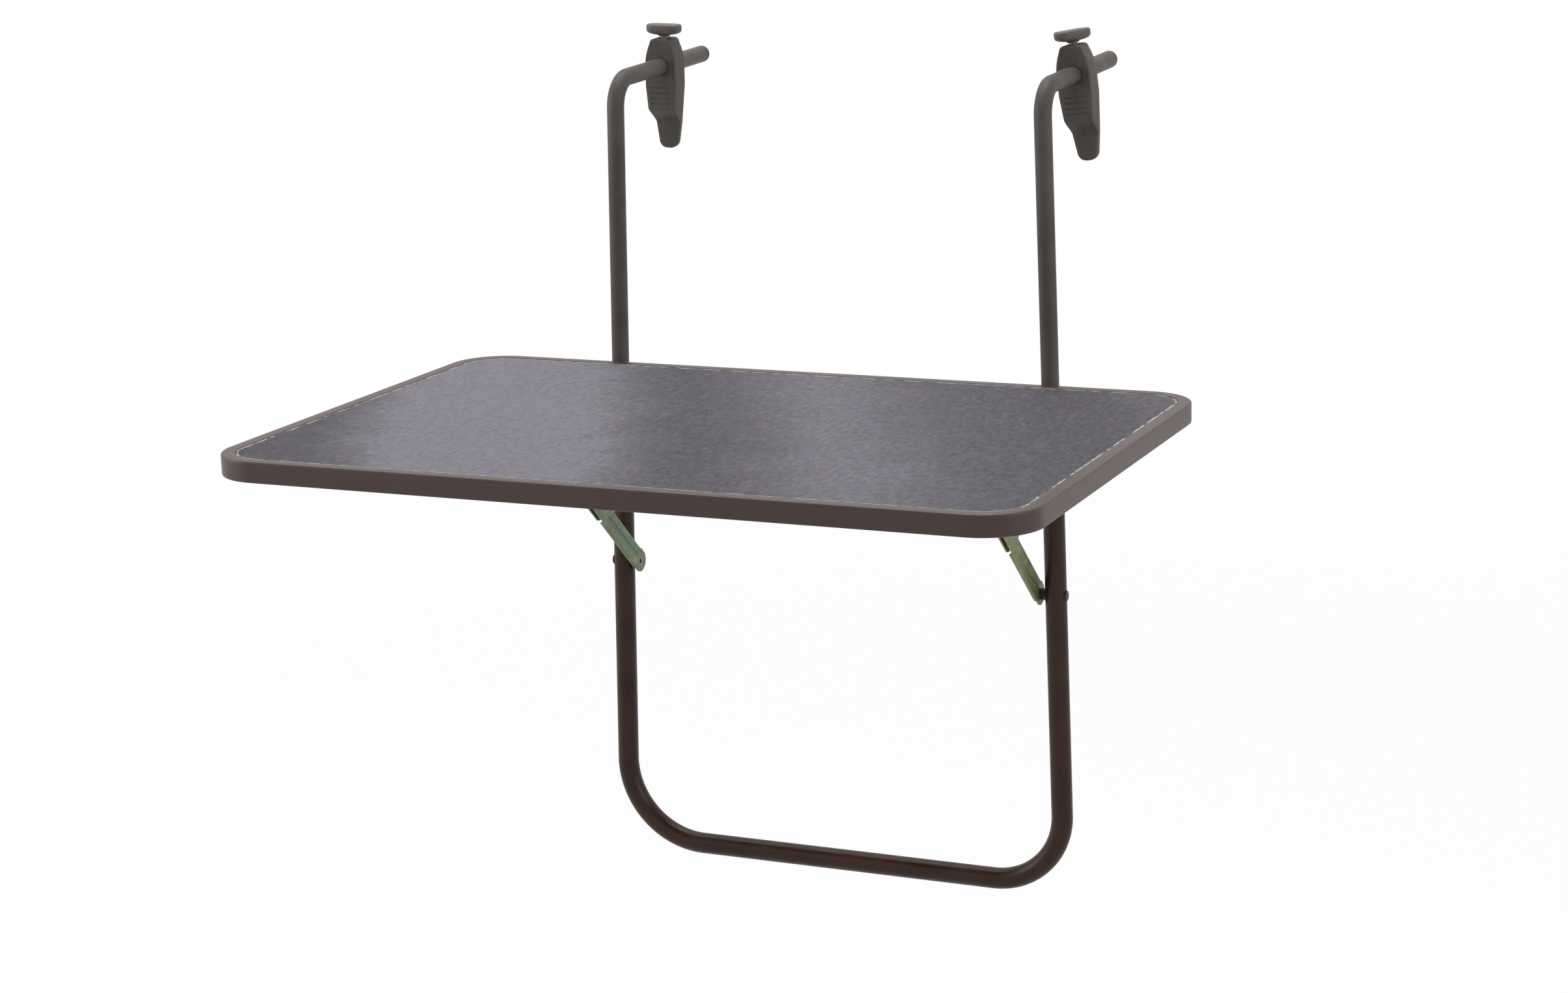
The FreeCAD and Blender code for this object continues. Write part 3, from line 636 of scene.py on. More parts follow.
def folded_sheet(
    name: str, rows: Sequence[Sequence[Vector]], keep: Callable[[int, int], bool], thick: float
) -> Object:
    """Sheet metal drawn by its middle surface.

    Args:
        name: Name of the object.
        rows: Points of the middle surface, row by row.
        keep: Says whether the patch after row i and column j is there.
        thick: Thickness of the sheet.

    Returns:
        The sheet with its thickness.
    """
    shape = Shape()
    numbers = [shape.ring(row) for row in rows]
    for i, (a, b) in enumerate(zip(numbers, numbers[1:])):
        shape.faces += [(a[j], a[j + 1], b[j + 1], b[j]) for j in range(len(a) - 1) if keep(i, j)]
    thing = as_object(name, shape.mesh(name))
    return modified(thing, "SOLIDIFY", thickness=thick * METRE, offset=0.0, use_even_offset=True)


def finished(
    thing: Object, finish: "Finish", body: str, nodes: Sequence[str] = (), smooth: float = 32.0
) -> None:
    """Dresses a piece and hands it to the body that carries it.

    Args:
        thing: The piece.
        finish: What it is made of.
        body: The body that it rides on.
        nodes: Nodes of the solid model that it stands for.
        smooth: Angle above which an edge stays sharp, in degrees.
    """
    mesh = cleaned(thing.data, SLIVER)
    mesh.shade_smooth()
    mesh.set_sharp_from_angle(angle=math.radians(smooth))
    mesh.materials.clear()
    mesh.materials.append(finish.material())
    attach(thing, body)
    if nodes:
        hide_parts(*nodes)
    log.info("%s rides on %s with %d faces", thing.name, body, len(mesh.polygons))


def made(
    name: str, shape: Shape, finish: "Finish", body: str, nodes: Sequence[str] = (), smooth: float = 32.0
) -> None:
    """Makes a piece of a shape, with the rest as in finished."""
    finished(as_object(name, shape.mesh(name)), finish, body, nodes, smooth)


def dress_node(node: str, finish: "Finish") -> None:
    """Gives a node of the solid model its finish.

    Args:
        node: Name of the node.
        finish: What it is made of.
    """
    materials = frame["nodes"][node].data.materials
    materials.clear()
    materials.append(finish.material())
    log.info("%s keeps its solid", node)


# Finishes

def display(colour: Colour) -> tuple[float, float, float, float]:
    """Linear colour of an 8-bit display colour."""
    r, g, b = (((c / 255 + 0.055) / 1.055) ** 2.4 for c in colour)
    return (r, g, b, 1.0)


class Recipe:
    """A node material under way."""

    def __init__(self, name: str) -> None:
        """Starts a material with a plain shader.

        Args:
            name: Name of the material.
        """
        self.result = bpy.data.materials.new(name)
        self.result.use_nodes = True
        self.tree = self.result.node_tree
        self.tree.nodes.clear()
        self.shader = self.add("BsdfPrincipled")
        self.output = self.add("OutputMaterial", self.shader.outputs[0])
        self.own = self.add("TexCoord").outputs["Object"]
        self.height: NodeSocket | None = None

    def feed(self, socket: NodeSocket, value: NodeSocket | Colour | Triple | float) -> None:
        """Links an input to a value that is worked out, or sets it to a plain one.

        Args:
            socket: The input.
            value: The value, which for a colour is an 8-bit display colour.
        """
        if isinstance(value, NodeSocket):
            self.tree.links.new(value, socket)
        else:
            socket.default_value = display(value) if socket.type == "RGBA" else value

    def add(self, kind: str, *values: NodeSocket | Colour | Triple | float, **settings: str) -> Node:
        """Adds a node.

        Args:
            kind: Its kind, without the word that all shader nodes start with.
            values: What its first inputs get.
            settings: Its own settings.

        Returns:
            The node.
        """
        node = self.tree.nodes.new("ShaderNode" + kind)
        for key, value in settings.items():
            setattr(node, key, value)
        for socket, value in zip(node.inputs, values):
            self.feed(socket, value)
        return node

    def stretched(self, scale: Triple, shift: Triple = (0.0, 0.0, 0.0)) -> NodeSocket:
        """The piece's own coordinates, scaled along each axis and then moved."""
        return self.add("Mapping", self.own, shift, (0.0, 0.0, 0.0), scale).outputs[0]

    def noise(
        self, scale: float, detail: float = 3.0, rough: float = 0.55, place: NodeSocket | None = None
    ) -> NodeSocket:
        """Soft noise by blotches per metre, at the piece's own coordinates or at others."""
        return self.add("TexNoise", place or self.own, 0.0, scale, detail, rough).outputs[0]

    def ramp(self, value: NodeSocket, stops: Sequence[tuple], blend: str = "LINEAR") -> NodeSocket:
        """Linear colour by value.

        Args:
            value: What chooses the colour.
            stops: (place, colour) pairs.
            blend: How the colours between them come about.

        Returns:
            The colour.
        """
        node = self.add("ValToRGB", value)
        node.color_ramp.interpolation = blend
        elements = node.color_ramp.elements
        while len(elements) < len(stops):
            elements.new(0.5)
        for element, (place, colour) in zip(elements, stops):
            element.position = place
            element.color = colour
        return node.outputs[0]

    def graded(self, value: NodeSocket, *stops: tuple[float, Colour]) -> NodeSocket:
        """Display colour by value, from (place, colour) pairs."""
        return self.ramp(value, [(place, display(colour)) for place, colour in stops])

    def spread(
        self, value: NodeSocket, low: float, high: float, to_low: float = 0.0, to_high: float = 1.0
    ) -> NodeSocket:
        """Maps a range of a value onto another range."""
        return self.add("MapRange", value, low, high, to_low, to_high).outputs[0]

    def varied(self, noise: NodeSocket, low: float, high: float) -> NodeSocket:
        """Maps a noise onto a range."""
        return self.spread(noise, *NOISE_SPAN, low, high)

    def blended(self, share: NodeSocket, a: NodeSocket | Colour, b: NodeSocket | Colour) -> NodeSocket:
        """Mixes two colours.

        Args:
            share: Share of the second one.
            a: The first colour.
            b: The second colour.

        Returns:
            The mixed colour.
        """
        node = self.add("Mix", share, data_type="RGBA")
        self.feed(node.inputs[6], a)
        self.feed(node.inputs[7], b)
        return node.outputs[2]

    def maths(self, kind: str, a: NodeSocket, b: NodeSocket | float) -> NodeSocket:
        """Sum on two values."""
        return self.add("Math", a, b, operation=kind).outputs[0]

    def vector(self, kind: str, *values: NodeSocket | Triple) -> NodeSocket:
        """Sum on vectors, which gives a vector."""
        return self.add("VectorMath", *values, operation=kind).outputs["Vector"]

    def number(self, kind: str, *values: NodeSocket | Triple) -> NodeSocket:
        """Sum on vectors, which gives a number."""
        return self.add("VectorMath", *values, operation=kind).outputs["Value"]

    def worn_edges(self, scale: float, most: float) -> NodeSocket:
        """Share of wear, which lies in patches on the outward edges.

        Args:
            scale: Patches per metre.
            most: Share on a sharp edge in the middle of a patch.

        Returns:
            The share.
        """
        edge = self.spread(self.add("NewGeometry").outputs["Pointiness"], 0.515, 0.60)
        patch = self.spread(self.noise(scale, 4.0, 0.65), 0.38, 0.60, 0.25, most)
        return self.maths("MULTIPLY", edge, patch)

    def hollows(self, most: float) -> NodeSocket:
        """Share of painted shade, which lies in the inward corners."""
        return self.spread(self.add("NewGeometry").outputs["Pointiness"], 0.492, 0.44, 0.0, most)

    def relief(self, value: NodeSocket, depth: float) -> None:
        """Adds a fine relief.

        Args:
            value: Its height.
            depth: Height of the relief at 1, in millimetres.
        """
        node = self.add("Bump", 1.0, depth * METRE)
        self.feed(node.inputs["Height"], value)
        if self.height is not None:
            self.feed(node.inputs["Normal"], self.height)
        self.height = node.outputs[0]
        self.feed(self.shader.inputs["Normal"], self.height)

    def surface(
        self, colour: NodeSocket | Colour, roughness: NodeSocket | float, **values: float
    ) -> Material:
        """Gives the plain shader its values.

        Args:
            colour: Colour of the surface.
            roughness: Its roughness.
            values: The shader's other inputs, named with underscores for spaces.

        Returns:
            The material.
        """
        for name, value in {"Base_Color": colour, "Roughness": roughness, **values}.items():
            self.feed(self.shader.inputs[name.replace("_", " ")], value)
        return self.result


@dataclass(frozen=True)
class Finish:
    """A finish with a name and the material slot that it belongs to."""

    name: str
    slot: str

    def material(self) -> Material:
        """The finish's material, made once."""
        return bpy.data.materials.get(self.name) or self.make(Recipe(self.name))

    def make(self, r: Recipe) -> Material:
        """Builds the material in its recipe."""
        raise NotImplementedError


@dataclass(frozen=True)
class PowderCoat(Finish):
    """Powder coat: a slightly uneven colour over the dimples of orange peel."""

    dark: Colour
    light: Colour
    rubbed: Colour
    gloss: float
    shine: float
    peel: float = 0.05
    peel_scale: float = 620.0

    def make(self, r: Recipe) -> Material:
        """Clouds and specks of a lighter tone, rubbed on the edges.

        Args:
            r: The recipe.

        Returns:
            The material.
        """
        base = r.graded(r.noise(26.0, 4.0), (0.3, self.dark), (0.7, self.light))
        fleck = r.blended(r.spread(r.noise(2400.0, 2.0), 0.52, 0.72, 0.0, 0.30), base, self.light)
        colour = r.blended(r.worn_edges(180.0, 0.8), fleck, self.rubbed)
        gloss = r.varied(r.noise(90.0, 4.0), self.gloss - 0.05, self.gloss + 0.07)
        r.relief(r.noise(self.peel_scale, 1.5, 0.4), self.peel)
        return r.surface(colour, gloss, Specular_IOR_Level=self.shine)


@dataclass(frozen=True)
class Moulding(Finish):
    """Matt moulded plastic with a fine spark-eroded grain."""

    dark: Colour
    light: Colour
    rubbed: Colour
    gloss: float = 0.55
    shine: float = 0.22

    def make(self, r: Recipe) -> Material:
        """Upright flow lines with a fine grain, rubbed on the edges.

        Args:
            r: The recipe.

        Returns:
            The material.
        """
        flow = r.noise(60.0, 5.0, 0.6, r.stretched((1.0, 1.0, 0.35)))
        base = r.graded(flow, (0.32, self.dark), (0.68, self.light))
        fibre = r.noise(900.0, 2.0, 0.5, r.stretched((1.0, 0.3, 1.0)))
        grain = r.blended(r.spread(fibre, 0.58, 0.75, 0.0, 0.35), base, self.light)
        colour = r.blended(r.worn_edges(240.0, 0.75), grain, self.rubbed)
        gloss = r.varied(r.noise(240.0, 3.0), self.gloss - 0.06, self.gloss + 0.08)
        r.relief(r.noise(1900.0, 2.0, 0.6), 0.02)
        return r.surface(colour, gloss, Specular_IOR_Level=self.shine)


@dataclass(frozen=True)
class BrushedRim(Finish):
    """Taupe coated metal with fine streaks along its length."""

    dark: Colour
    light: Colour
    rubbed: Colour

    def make(self, r: Recipe) -> Material:
        """Streaks along the rim's own lengthwise coordinates, rubbed on the edges.

        Args:
            r: The recipe.

        Returns:
            The material.
        """
        uv = r.add("TexCoord").outputs["UV"]
        lengthwise = r.add("Mapping", uv, (0.0, 0.0, 0.0), (0.0, 0.0, 0.0), (0.012, 1.0, 1.0)).outputs[0]
        streak = r.noise(2600.0, 5.0, 0.6, lengthwise)
        tone = r.graded(streak, (0.28, self.dark), (0.72, self.light))
        soft = r.graded(r.noise(420.0, 3.0, 0.5, lengthwise), (0.1, self.dark), (0.9, self.light))
        mixed = r.blended(r.varied(r.noise(20.0), 0.35, 0.65), tone, soft)
        colour = r.blended(r.worn_edges(60.0, 0.7), mixed, self.rubbed)
        r.relief(streak, 0.008)
        r.relief(r.noise(700.0, 1.5, 0.4), 0.012)
        return r.surface(colour, r.spread(streak, 0.25, 0.75, 0.34, 0.48), Specular_IOR_Level=0.42)


@dataclass(frozen=True)
class MottledLaminate(Finish):
    """Stone-look laminate: soft clouds, fine mottling, a pale broken line at its cut edge and two soft bands
    of painted reflection.
    """

    deep: Colour
    grey: Colour
    pale: Colour
    rose: Colour
    blue: Colour
    edge: Colour
    drawn: Triple = (1.0, 0.42, 1.0)
    blue_shift: Triple = (3.1, 1.7, 0.0)
    line_inset: Point2 = (0.15, 0.75)
    line_ragged: float = 0.0036
    # Painted reflection: slant, span and (place, tone) stops of two soft light bands across the top.
    band_slant: float = 0.46
    band_range: Point2 = (-0.45, 0.30)
    bands: tuple[Point2, ...] = (
        (0.03, 0.0), (0.16, 0.95), (0.31, 0.95), (0.445, 0.12),
        (0.59, 0.72), (0.76, 0.18), (0.86, 0.1), (0.95, 0.4),
    )

    def make(self, r: Recipe) -> Material:
        """Painted reflection bands and mottling, tinted patches, pale flecks, dark pits and the line.

        Args:
            r: The recipe.

        Returns:
            The material.
        """
        drawn = r.stretched(self.drawn)
        cloud = r.noise(48.0, 3.0, 0.55, drawn)
        grain = r.noise(620.0, 4.0, 0.65, drawn)
        blotch = r.varied(r.noise(250.0, 3.0, 0.6, drawn), -0.25, 0.25)
        # The tone is the decor's clouds and blotches plus the painted reflection bands.
        tone = r.maths("ADD", self.broad_bands(r), r.maths("ADD", r.varied(cloud, -0.11, 0.11), blotch))
        colour = r.graded(tone, (0.0, self.deep), (0.5, self.grey), (1.0, self.pale))
        rose = r.noise(105.0, 4.0, 0.6, drawn)
        blue = r.noise(95.0, 4.0, 0.6, r.stretched(self.drawn, self.blue_shift))
        for value, low, high, most, tint in (
            (rose, 0.57, 0.70, 0.40, self.rose), (blue, 0.55, 0.70, 0.35, self.blue),
            (grain, 0.55, 0.72, 0.48, self.pale), (grain, 0.45, 0.27, 0.46, self.deep),
        ):
            colour = r.blended(r.spread(value, low, high, 0.0, most), colour, tint)
        colour = r.blended(self.edge_line(r), colour, self.edge)
        r.relief(grain, 0.03)
        r.relief(r.noise(120.0), 0.04)
        return r.surface(colour, r.varied(cloud, 0.62, 0.74), Specular_IOR_Level=0.12)

    def broad_bands(self, r: Recipe) -> NodeSocket:
        """Two wide soft bands of painted reflection that cross the decor at a slant.

        Args:
            r: The recipe.

        Returns:
            The painted reflection's tone, from 0 between the bands to 1 on the paler one.
        """
        along = r.number("DOT_PRODUCT", r.own, (1.0, self.band_slant, 0.0))
        ragged = r.varied(r.noise(14.0, 4.0), -0.014, 0.014)
        place = r.spread(r.maths("ADD", along, ragged), *self.band_range)
        return r.ramp(place, [(spot, (tone, tone, tone, 1.0)) for spot, tone in self.bands], "EASE")

    def edge_line(self, r: Recipe) -> NodeSocket:
        """Draws the pale line at a distance from the laminate's edge.

        Args:
            r: The recipe.

        Returns:
            Share of the line's colour.
        """
        corner = PLAN.corner_r - PLAN.lip_width - PLAN.play
        inner = Vector((PLAN.top_length / 2 - PLAN.corner_r, PLAN.top_depth / 2 - PLAN.corner_r, 0)) * METRE
        folded = r.vector("ABSOLUTE", r.stretched((1.0, 1.0, 0.0), (0.0, -PLAN.mid_y * METRE, 0.0)))
        beyond = r.vector("MAXIMUM", r.vector("SUBTRACT", folded, inner))
        ragged = r.maths("MULTIPLY", r.noise(160.0, 4.0, 0.7), self.line_ragged)
        near = r.maths("ADD", r.number("LENGTH", beyond), ragged)
        line = r.spread(near, *((corner + inset) * METRE for inset in self.line_inset))
        return r.maths("MULTIPLY", line, r.spread(r.noise(85.0, 3.0, 0.6), 0.43, 0.53, 0.10, 0.95))


@dataclass(frozen=True)
class Passivated(Finish):
    """Zinc plate passivated yellow: olive, teal, straw and brown patches over metal."""

    olive: Colour
    teal: Colour
    straw: Colour
    brown: Colour
    # Colour of the painted shade in the inward corners and along the pressed groove's walls.
    grime: Colour = (46, 52, 42)

    def make(self, r: Recipe) -> Material:
        """Patches of four colours, with straw edges and painted shade in the corners.

        Args:
            r: The recipe.

        Returns:
            The material.
        """
        film = r.noise(85.0, 4.0, 0.6, r.stretched((1.0, 0.7, 0.7)))
        patch = r.noise(190.0, 5.0, 0.65)
        base = r.graded(film, (0.30, self.brown), (0.40, self.olive), (0.54, self.teal), (0.70, self.straw))
        patchy = r.blended(r.spread(patch, 0.4, 0.7, 0.0, 0.6), base, self.olive)
        edged = r.blended(r.worn_edges(300.0, 0.6), patchy, self.straw)
        # Painted shade darkens the inward corners.
        colour = r.blended(r.hollows(0.75), edged, self.grime)
        r.relief(r.noise(1500.0, 3.0, 0.6), 0.012)
        r.relief(r.noise(220.0, 2.0), 0.02)
        return r.surface(colour, r.varied(patch, 0.34, 0.55), Metallic=0.55, Specular_IOR_Level=0.5)


@dataclass(frozen=True)
class BareMetal(Finish):
    """Plated or turned metal with faint tool marks."""

    dark: Colour
    light: Colour
    gloss: float

    def make(self, r: Recipe) -> Material:
        """Stains, and marks across the piece.

        Args:
            r: The recipe.

        Returns:
            The material.
        """
        colour = r.graded(r.noise(260.0, 4.0, 0.6), (0.3, self.dark), (0.7, self.light))
        marks = r.noise(2600.0, 2.0, 0.5, r.stretched((1.0, 0.2, 1.0)))
        r.relief(marks, 0.008)
        return r.surface(colour, r.varied(marks, self.gloss - 0.06, self.gloss + 0.1), Metallic=0.9)


@dataclass(frozen=True)
class Fibreboard(Finish):
    """Pressed wood fibre."""

    dark: Colour
    light: Colour

    def make(self, r: Recipe) -> Material:
        """Fibres in two tones.

        Args:
            r: The recipe.

        Returns:
            The material.
        """
        fibre = r.noise(1200.0, 5.0, 0.7, r.stretched((1.0, 0.4, 1.0)))
        r.relief(fibre, 0.06)
        return r.surface(r.graded(fibre, (0.3, self.dark), (0.7, self.light)), 0.9)


FRAME_PAINT = PowderCoat(
    "frame powder coat", "frame_paint", (38, 18, 8), (56, 31, 18), (92, 78, 70), gloss=0.36, shine=0.24)
ROD_PAINT = PowderCoat(
    "rod powder coat", "rod_paint", (74, 69, 65), (90, 85, 81), (106, 100, 96), gloss=0.50, shine=0.24)
BLOCK_PLASTIC = Moulding("clamp moulding", "clamp_moulding", (70, 65, 61), (90, 85, 80), (116, 108, 102))
KNOB_PLASTIC = Moulding(
    "knob moulding", "knob_moulding", (76, 70, 66), (94, 87, 83), (124, 114, 110), gloss=0.44, shine=0.4)
CAP_PLASTIC = Moulding("cap moulding", "cap_moulding", (68, 62, 58), (82, 76, 71), (98, 92, 87))
RIM_COAT = BrushedRim("rim coat", "rim_paint", (52, 33, 29), (73, 52, 47), (112, 95, 90))
TOP_DECOR = MottledLaminate(
    "mottled laminate", "top_laminate", deep=(74, 72, 77), grey=(99, 97, 103), pale=(128, 125, 134),
    rose=(124, 106, 116), blue=(98, 101, 116), edge=(192, 195, 188))
BRACE_ZINC = Passivated(
    "yellow passivated zinc", "passivated_steel",
    olive=(102, 112, 82), teal=(94, 118, 98), straw=(148, 142, 88), brown=(98, 80, 58))
# Lighter copy of the brace zinc for the right brace: painted light where that side is lit.
LIT_BRACE_ZINC = Passivated(
    "straw passivated zinc", "passivated_steel",
    olive=(120, 122, 84), teal=(112, 126, 98), straw=(166, 156, 96), brown=(108, 88, 60))
RIVET_ZINC = Passivated(
    "rivet zinc", "rivet_steel",
    olive=(124, 134, 112), teal=(118, 142, 134), straw=(168, 166, 120), brown=(110, 98, 82))
BRIGHT_ZINC = BareMetal("bright zinc", "zinc_screw", (126, 134, 148), (176, 182, 192), gloss=0.28)
BRASS = BareMetal("turned brass", "insert_brass", (150, 118, 58), (196, 164, 96), gloss=0.26)
BOARD = Fibreboard("fibreboard", "fibreboard", (124, 96, 68), (168, 138, 104))
BACKING = Moulding("backing laminate", "backing_sheet", (62, 55, 51), (78, 70, 65), (90, 82, 76), gloss=0.6)


# Sub-assemblies

@dataclass
class TableTop:
    """Board in a metal rim, with a laminate on top and a backing below."""

    edge_r: float = 1.1
    inner_r: float = 0.4
    lip_end_r: float = 0.55
    seam: float = 0.3
    arc_steps: int = 20
    side_steps: int = 16
    front_steps: int = 24

    def build(self) -> None:
        """Dresses the board and sweeps the rim."""
        dress_node("board_core", BOARD)
        dress_node("top_laminate", TOP_DECOR)
        dress_node("backing_sheet", BACKING)
        finished(as_object("rim_section", self.rim_mesh()), RIM_COAT, "table", ["rim"], 40.0)

    def profile(self) -> list[Point2]:
        """Draws the rim's closed C section, from the upper lip outwards.

        Returns:
            (inset from the outer edge, height) pairs.
        """
        wall, lip, r, inner, e = PLAN.rim_wall, PLAN.lip_width, self.edge_r, self.inner_r, self.lip_end_r
        low = -PLAN.top_height
        low_in = low + wall
        lip_end = [(lip - e + e * math.sin(t), wall / 2 * math.cos(t)) for t in angles(0, 180, 6)]
        line = [(lip - e, 0.0), (lip * 0.7, 0.0), (lip * 0.45, 0.0)] + arc((r, -r), r, 90, 180)
        line += [(0.0, low * 0.35), (0.0, low * 0.65)] + arc((r, low + r), r, 180, 270)
        line += [(lip * 0.45, low)] + [(a, low + wall / 2 - b) for a, b in lip_end]
        line += [(lip * 0.5, low_in)] + arc((wall + inner, low_in + inner), inner, 270, 180)
        line += arc((wall + inner, -wall - inner), inner, 180, 90) + [(lip * 0.5, -wall)]
        return line + [(a, -wall / 2 - b) for a, b in lip_end[:-1]]

    def edge_path(self) -> list[tuple[Vector, Vector, float]]:
        """Follows the table's edge from the seam in the middle of its back.

        Returns:
            Points with their outward directions and distances from the seam.
        """
        hx, hy, r, seam = PLAN.top_length / 2, PLAN.top_depth / 2, PLAN.corner_r, self.seam / 2
        half_steps = self.front_steps // 2
        spots = [(x, hy, math.radians(90)) for x in spaced(seam, hx - r, half_steps)[:-1]]
        for cx, cy, start, end_x, end_y, steps in (
            (hx - r, hy - r, 90, hx, r - hy, self.side_steps),
            (hx - r, r - hy, 0, r - hx, -hy, self.front_steps),
            (r - hx, r - hy, -90, -hx, hy - r, self.side_steps),
            (r - hx, hy - r, -180, -seam, hy, half_steps),
        ):
            corner = arc((cx, cy), r, start, start - 90, self.arc_steps)
            spots += [(*p, t) for p, t in zip(corner, angles(start, start - 90, self.arc_steps))]
            x, y, t = spots[-1]
            line = list(zip(spaced(x, end_x, steps), spaced(y, end_y, steps)))
            spots += [(*p, t) for p in line[1:-1]]
        spots.append((-seam, hy, math.radians(90)))
        path: list[tuple[Vector, Vector, float]] = []
        for x, y, t in spots:
            point = Vector((x, PLAN.mid_y + y, PLAN.top_z))
            gone = path[-1][2] + (point - path[-1][0]).length if path else 0.0
            path.append((point, Vector((math.cos(t), math.sin(t), 0)), gone))
        return path

    def rim_mesh(self) -> Mesh:
        """Sweeps the section round the table, with lengthwise coordinates for its streaks.

        Returns:
            The rim's mesh.
        """
        profile = self.profile()
        girth = [0.0]
        for a, b in zip(profile, profile[1:]):
            girth.append(girth[-1] + math.dist(a, b))
        girth.append(girth[-1] + 1.0)
        path = self.edge_path()
        work = bmesh.new()
        uv = work.loops.layers.uv.new("lengthwise")
        rows = [[work.verts.new((p - n * d + ALONG_Z * z) * METRE) for d, z in profile] for p, n, _ in path]
        for i in range(len(rows) - 1):
            here, there = path[i][2], path[i + 1][2]
            for j in range(len(profile)):
                k = (j + 1) % len(profile)
                face = work.faces.new((rows[i][j], rows[i][k], rows[i + 1][k], rows[i + 1][j]))
                near, far = girth[j], girth[j + 1]
                places = ((here, near), (here, far), (there, far), (there, near))
                for loop, place in zip(face.loops, places):
                    loop[uv].uv = Vector(place) * METRE
        work.faces.new(rows[0])
        work.faces.new(rows[-1][::-1])
        bmesh.ops.recalc_face_normals(work, faces=work.faces)
        mesh = bpy.data.meshes.new("rim_section")
        work.to_mesh(mesh)
        work.free()
        return mesh


@dataclass
class TubeFrame:
    """Bent U tube, open at both mouths."""

    bend_right: float = 56.0
    bend_left: float = 65.0
    mouth_depth: float = 120.0

    def build(self) -> None:
        """Makes the tube."""
        mouth = PLAN.leg_point(PLAN.top_z - PLAN.tube_mouth_drop)
        corner = PLAN.leg_point(-PLAN.frame_drop)
        left, bends = Side.LEFT.mirror, [self.bend_right, self.bend_left]
        route = Route([mouth, corner, left @ corner, left @ mouth], bends, ALONG_Y)
        shape = pipe(route, PLAN.tube_r, PLAN.tube_bore_r, self.mouth_depth, 48)
        made("frame_tube", shape, FRAME_PAINT, "frame", ["u_frame"])


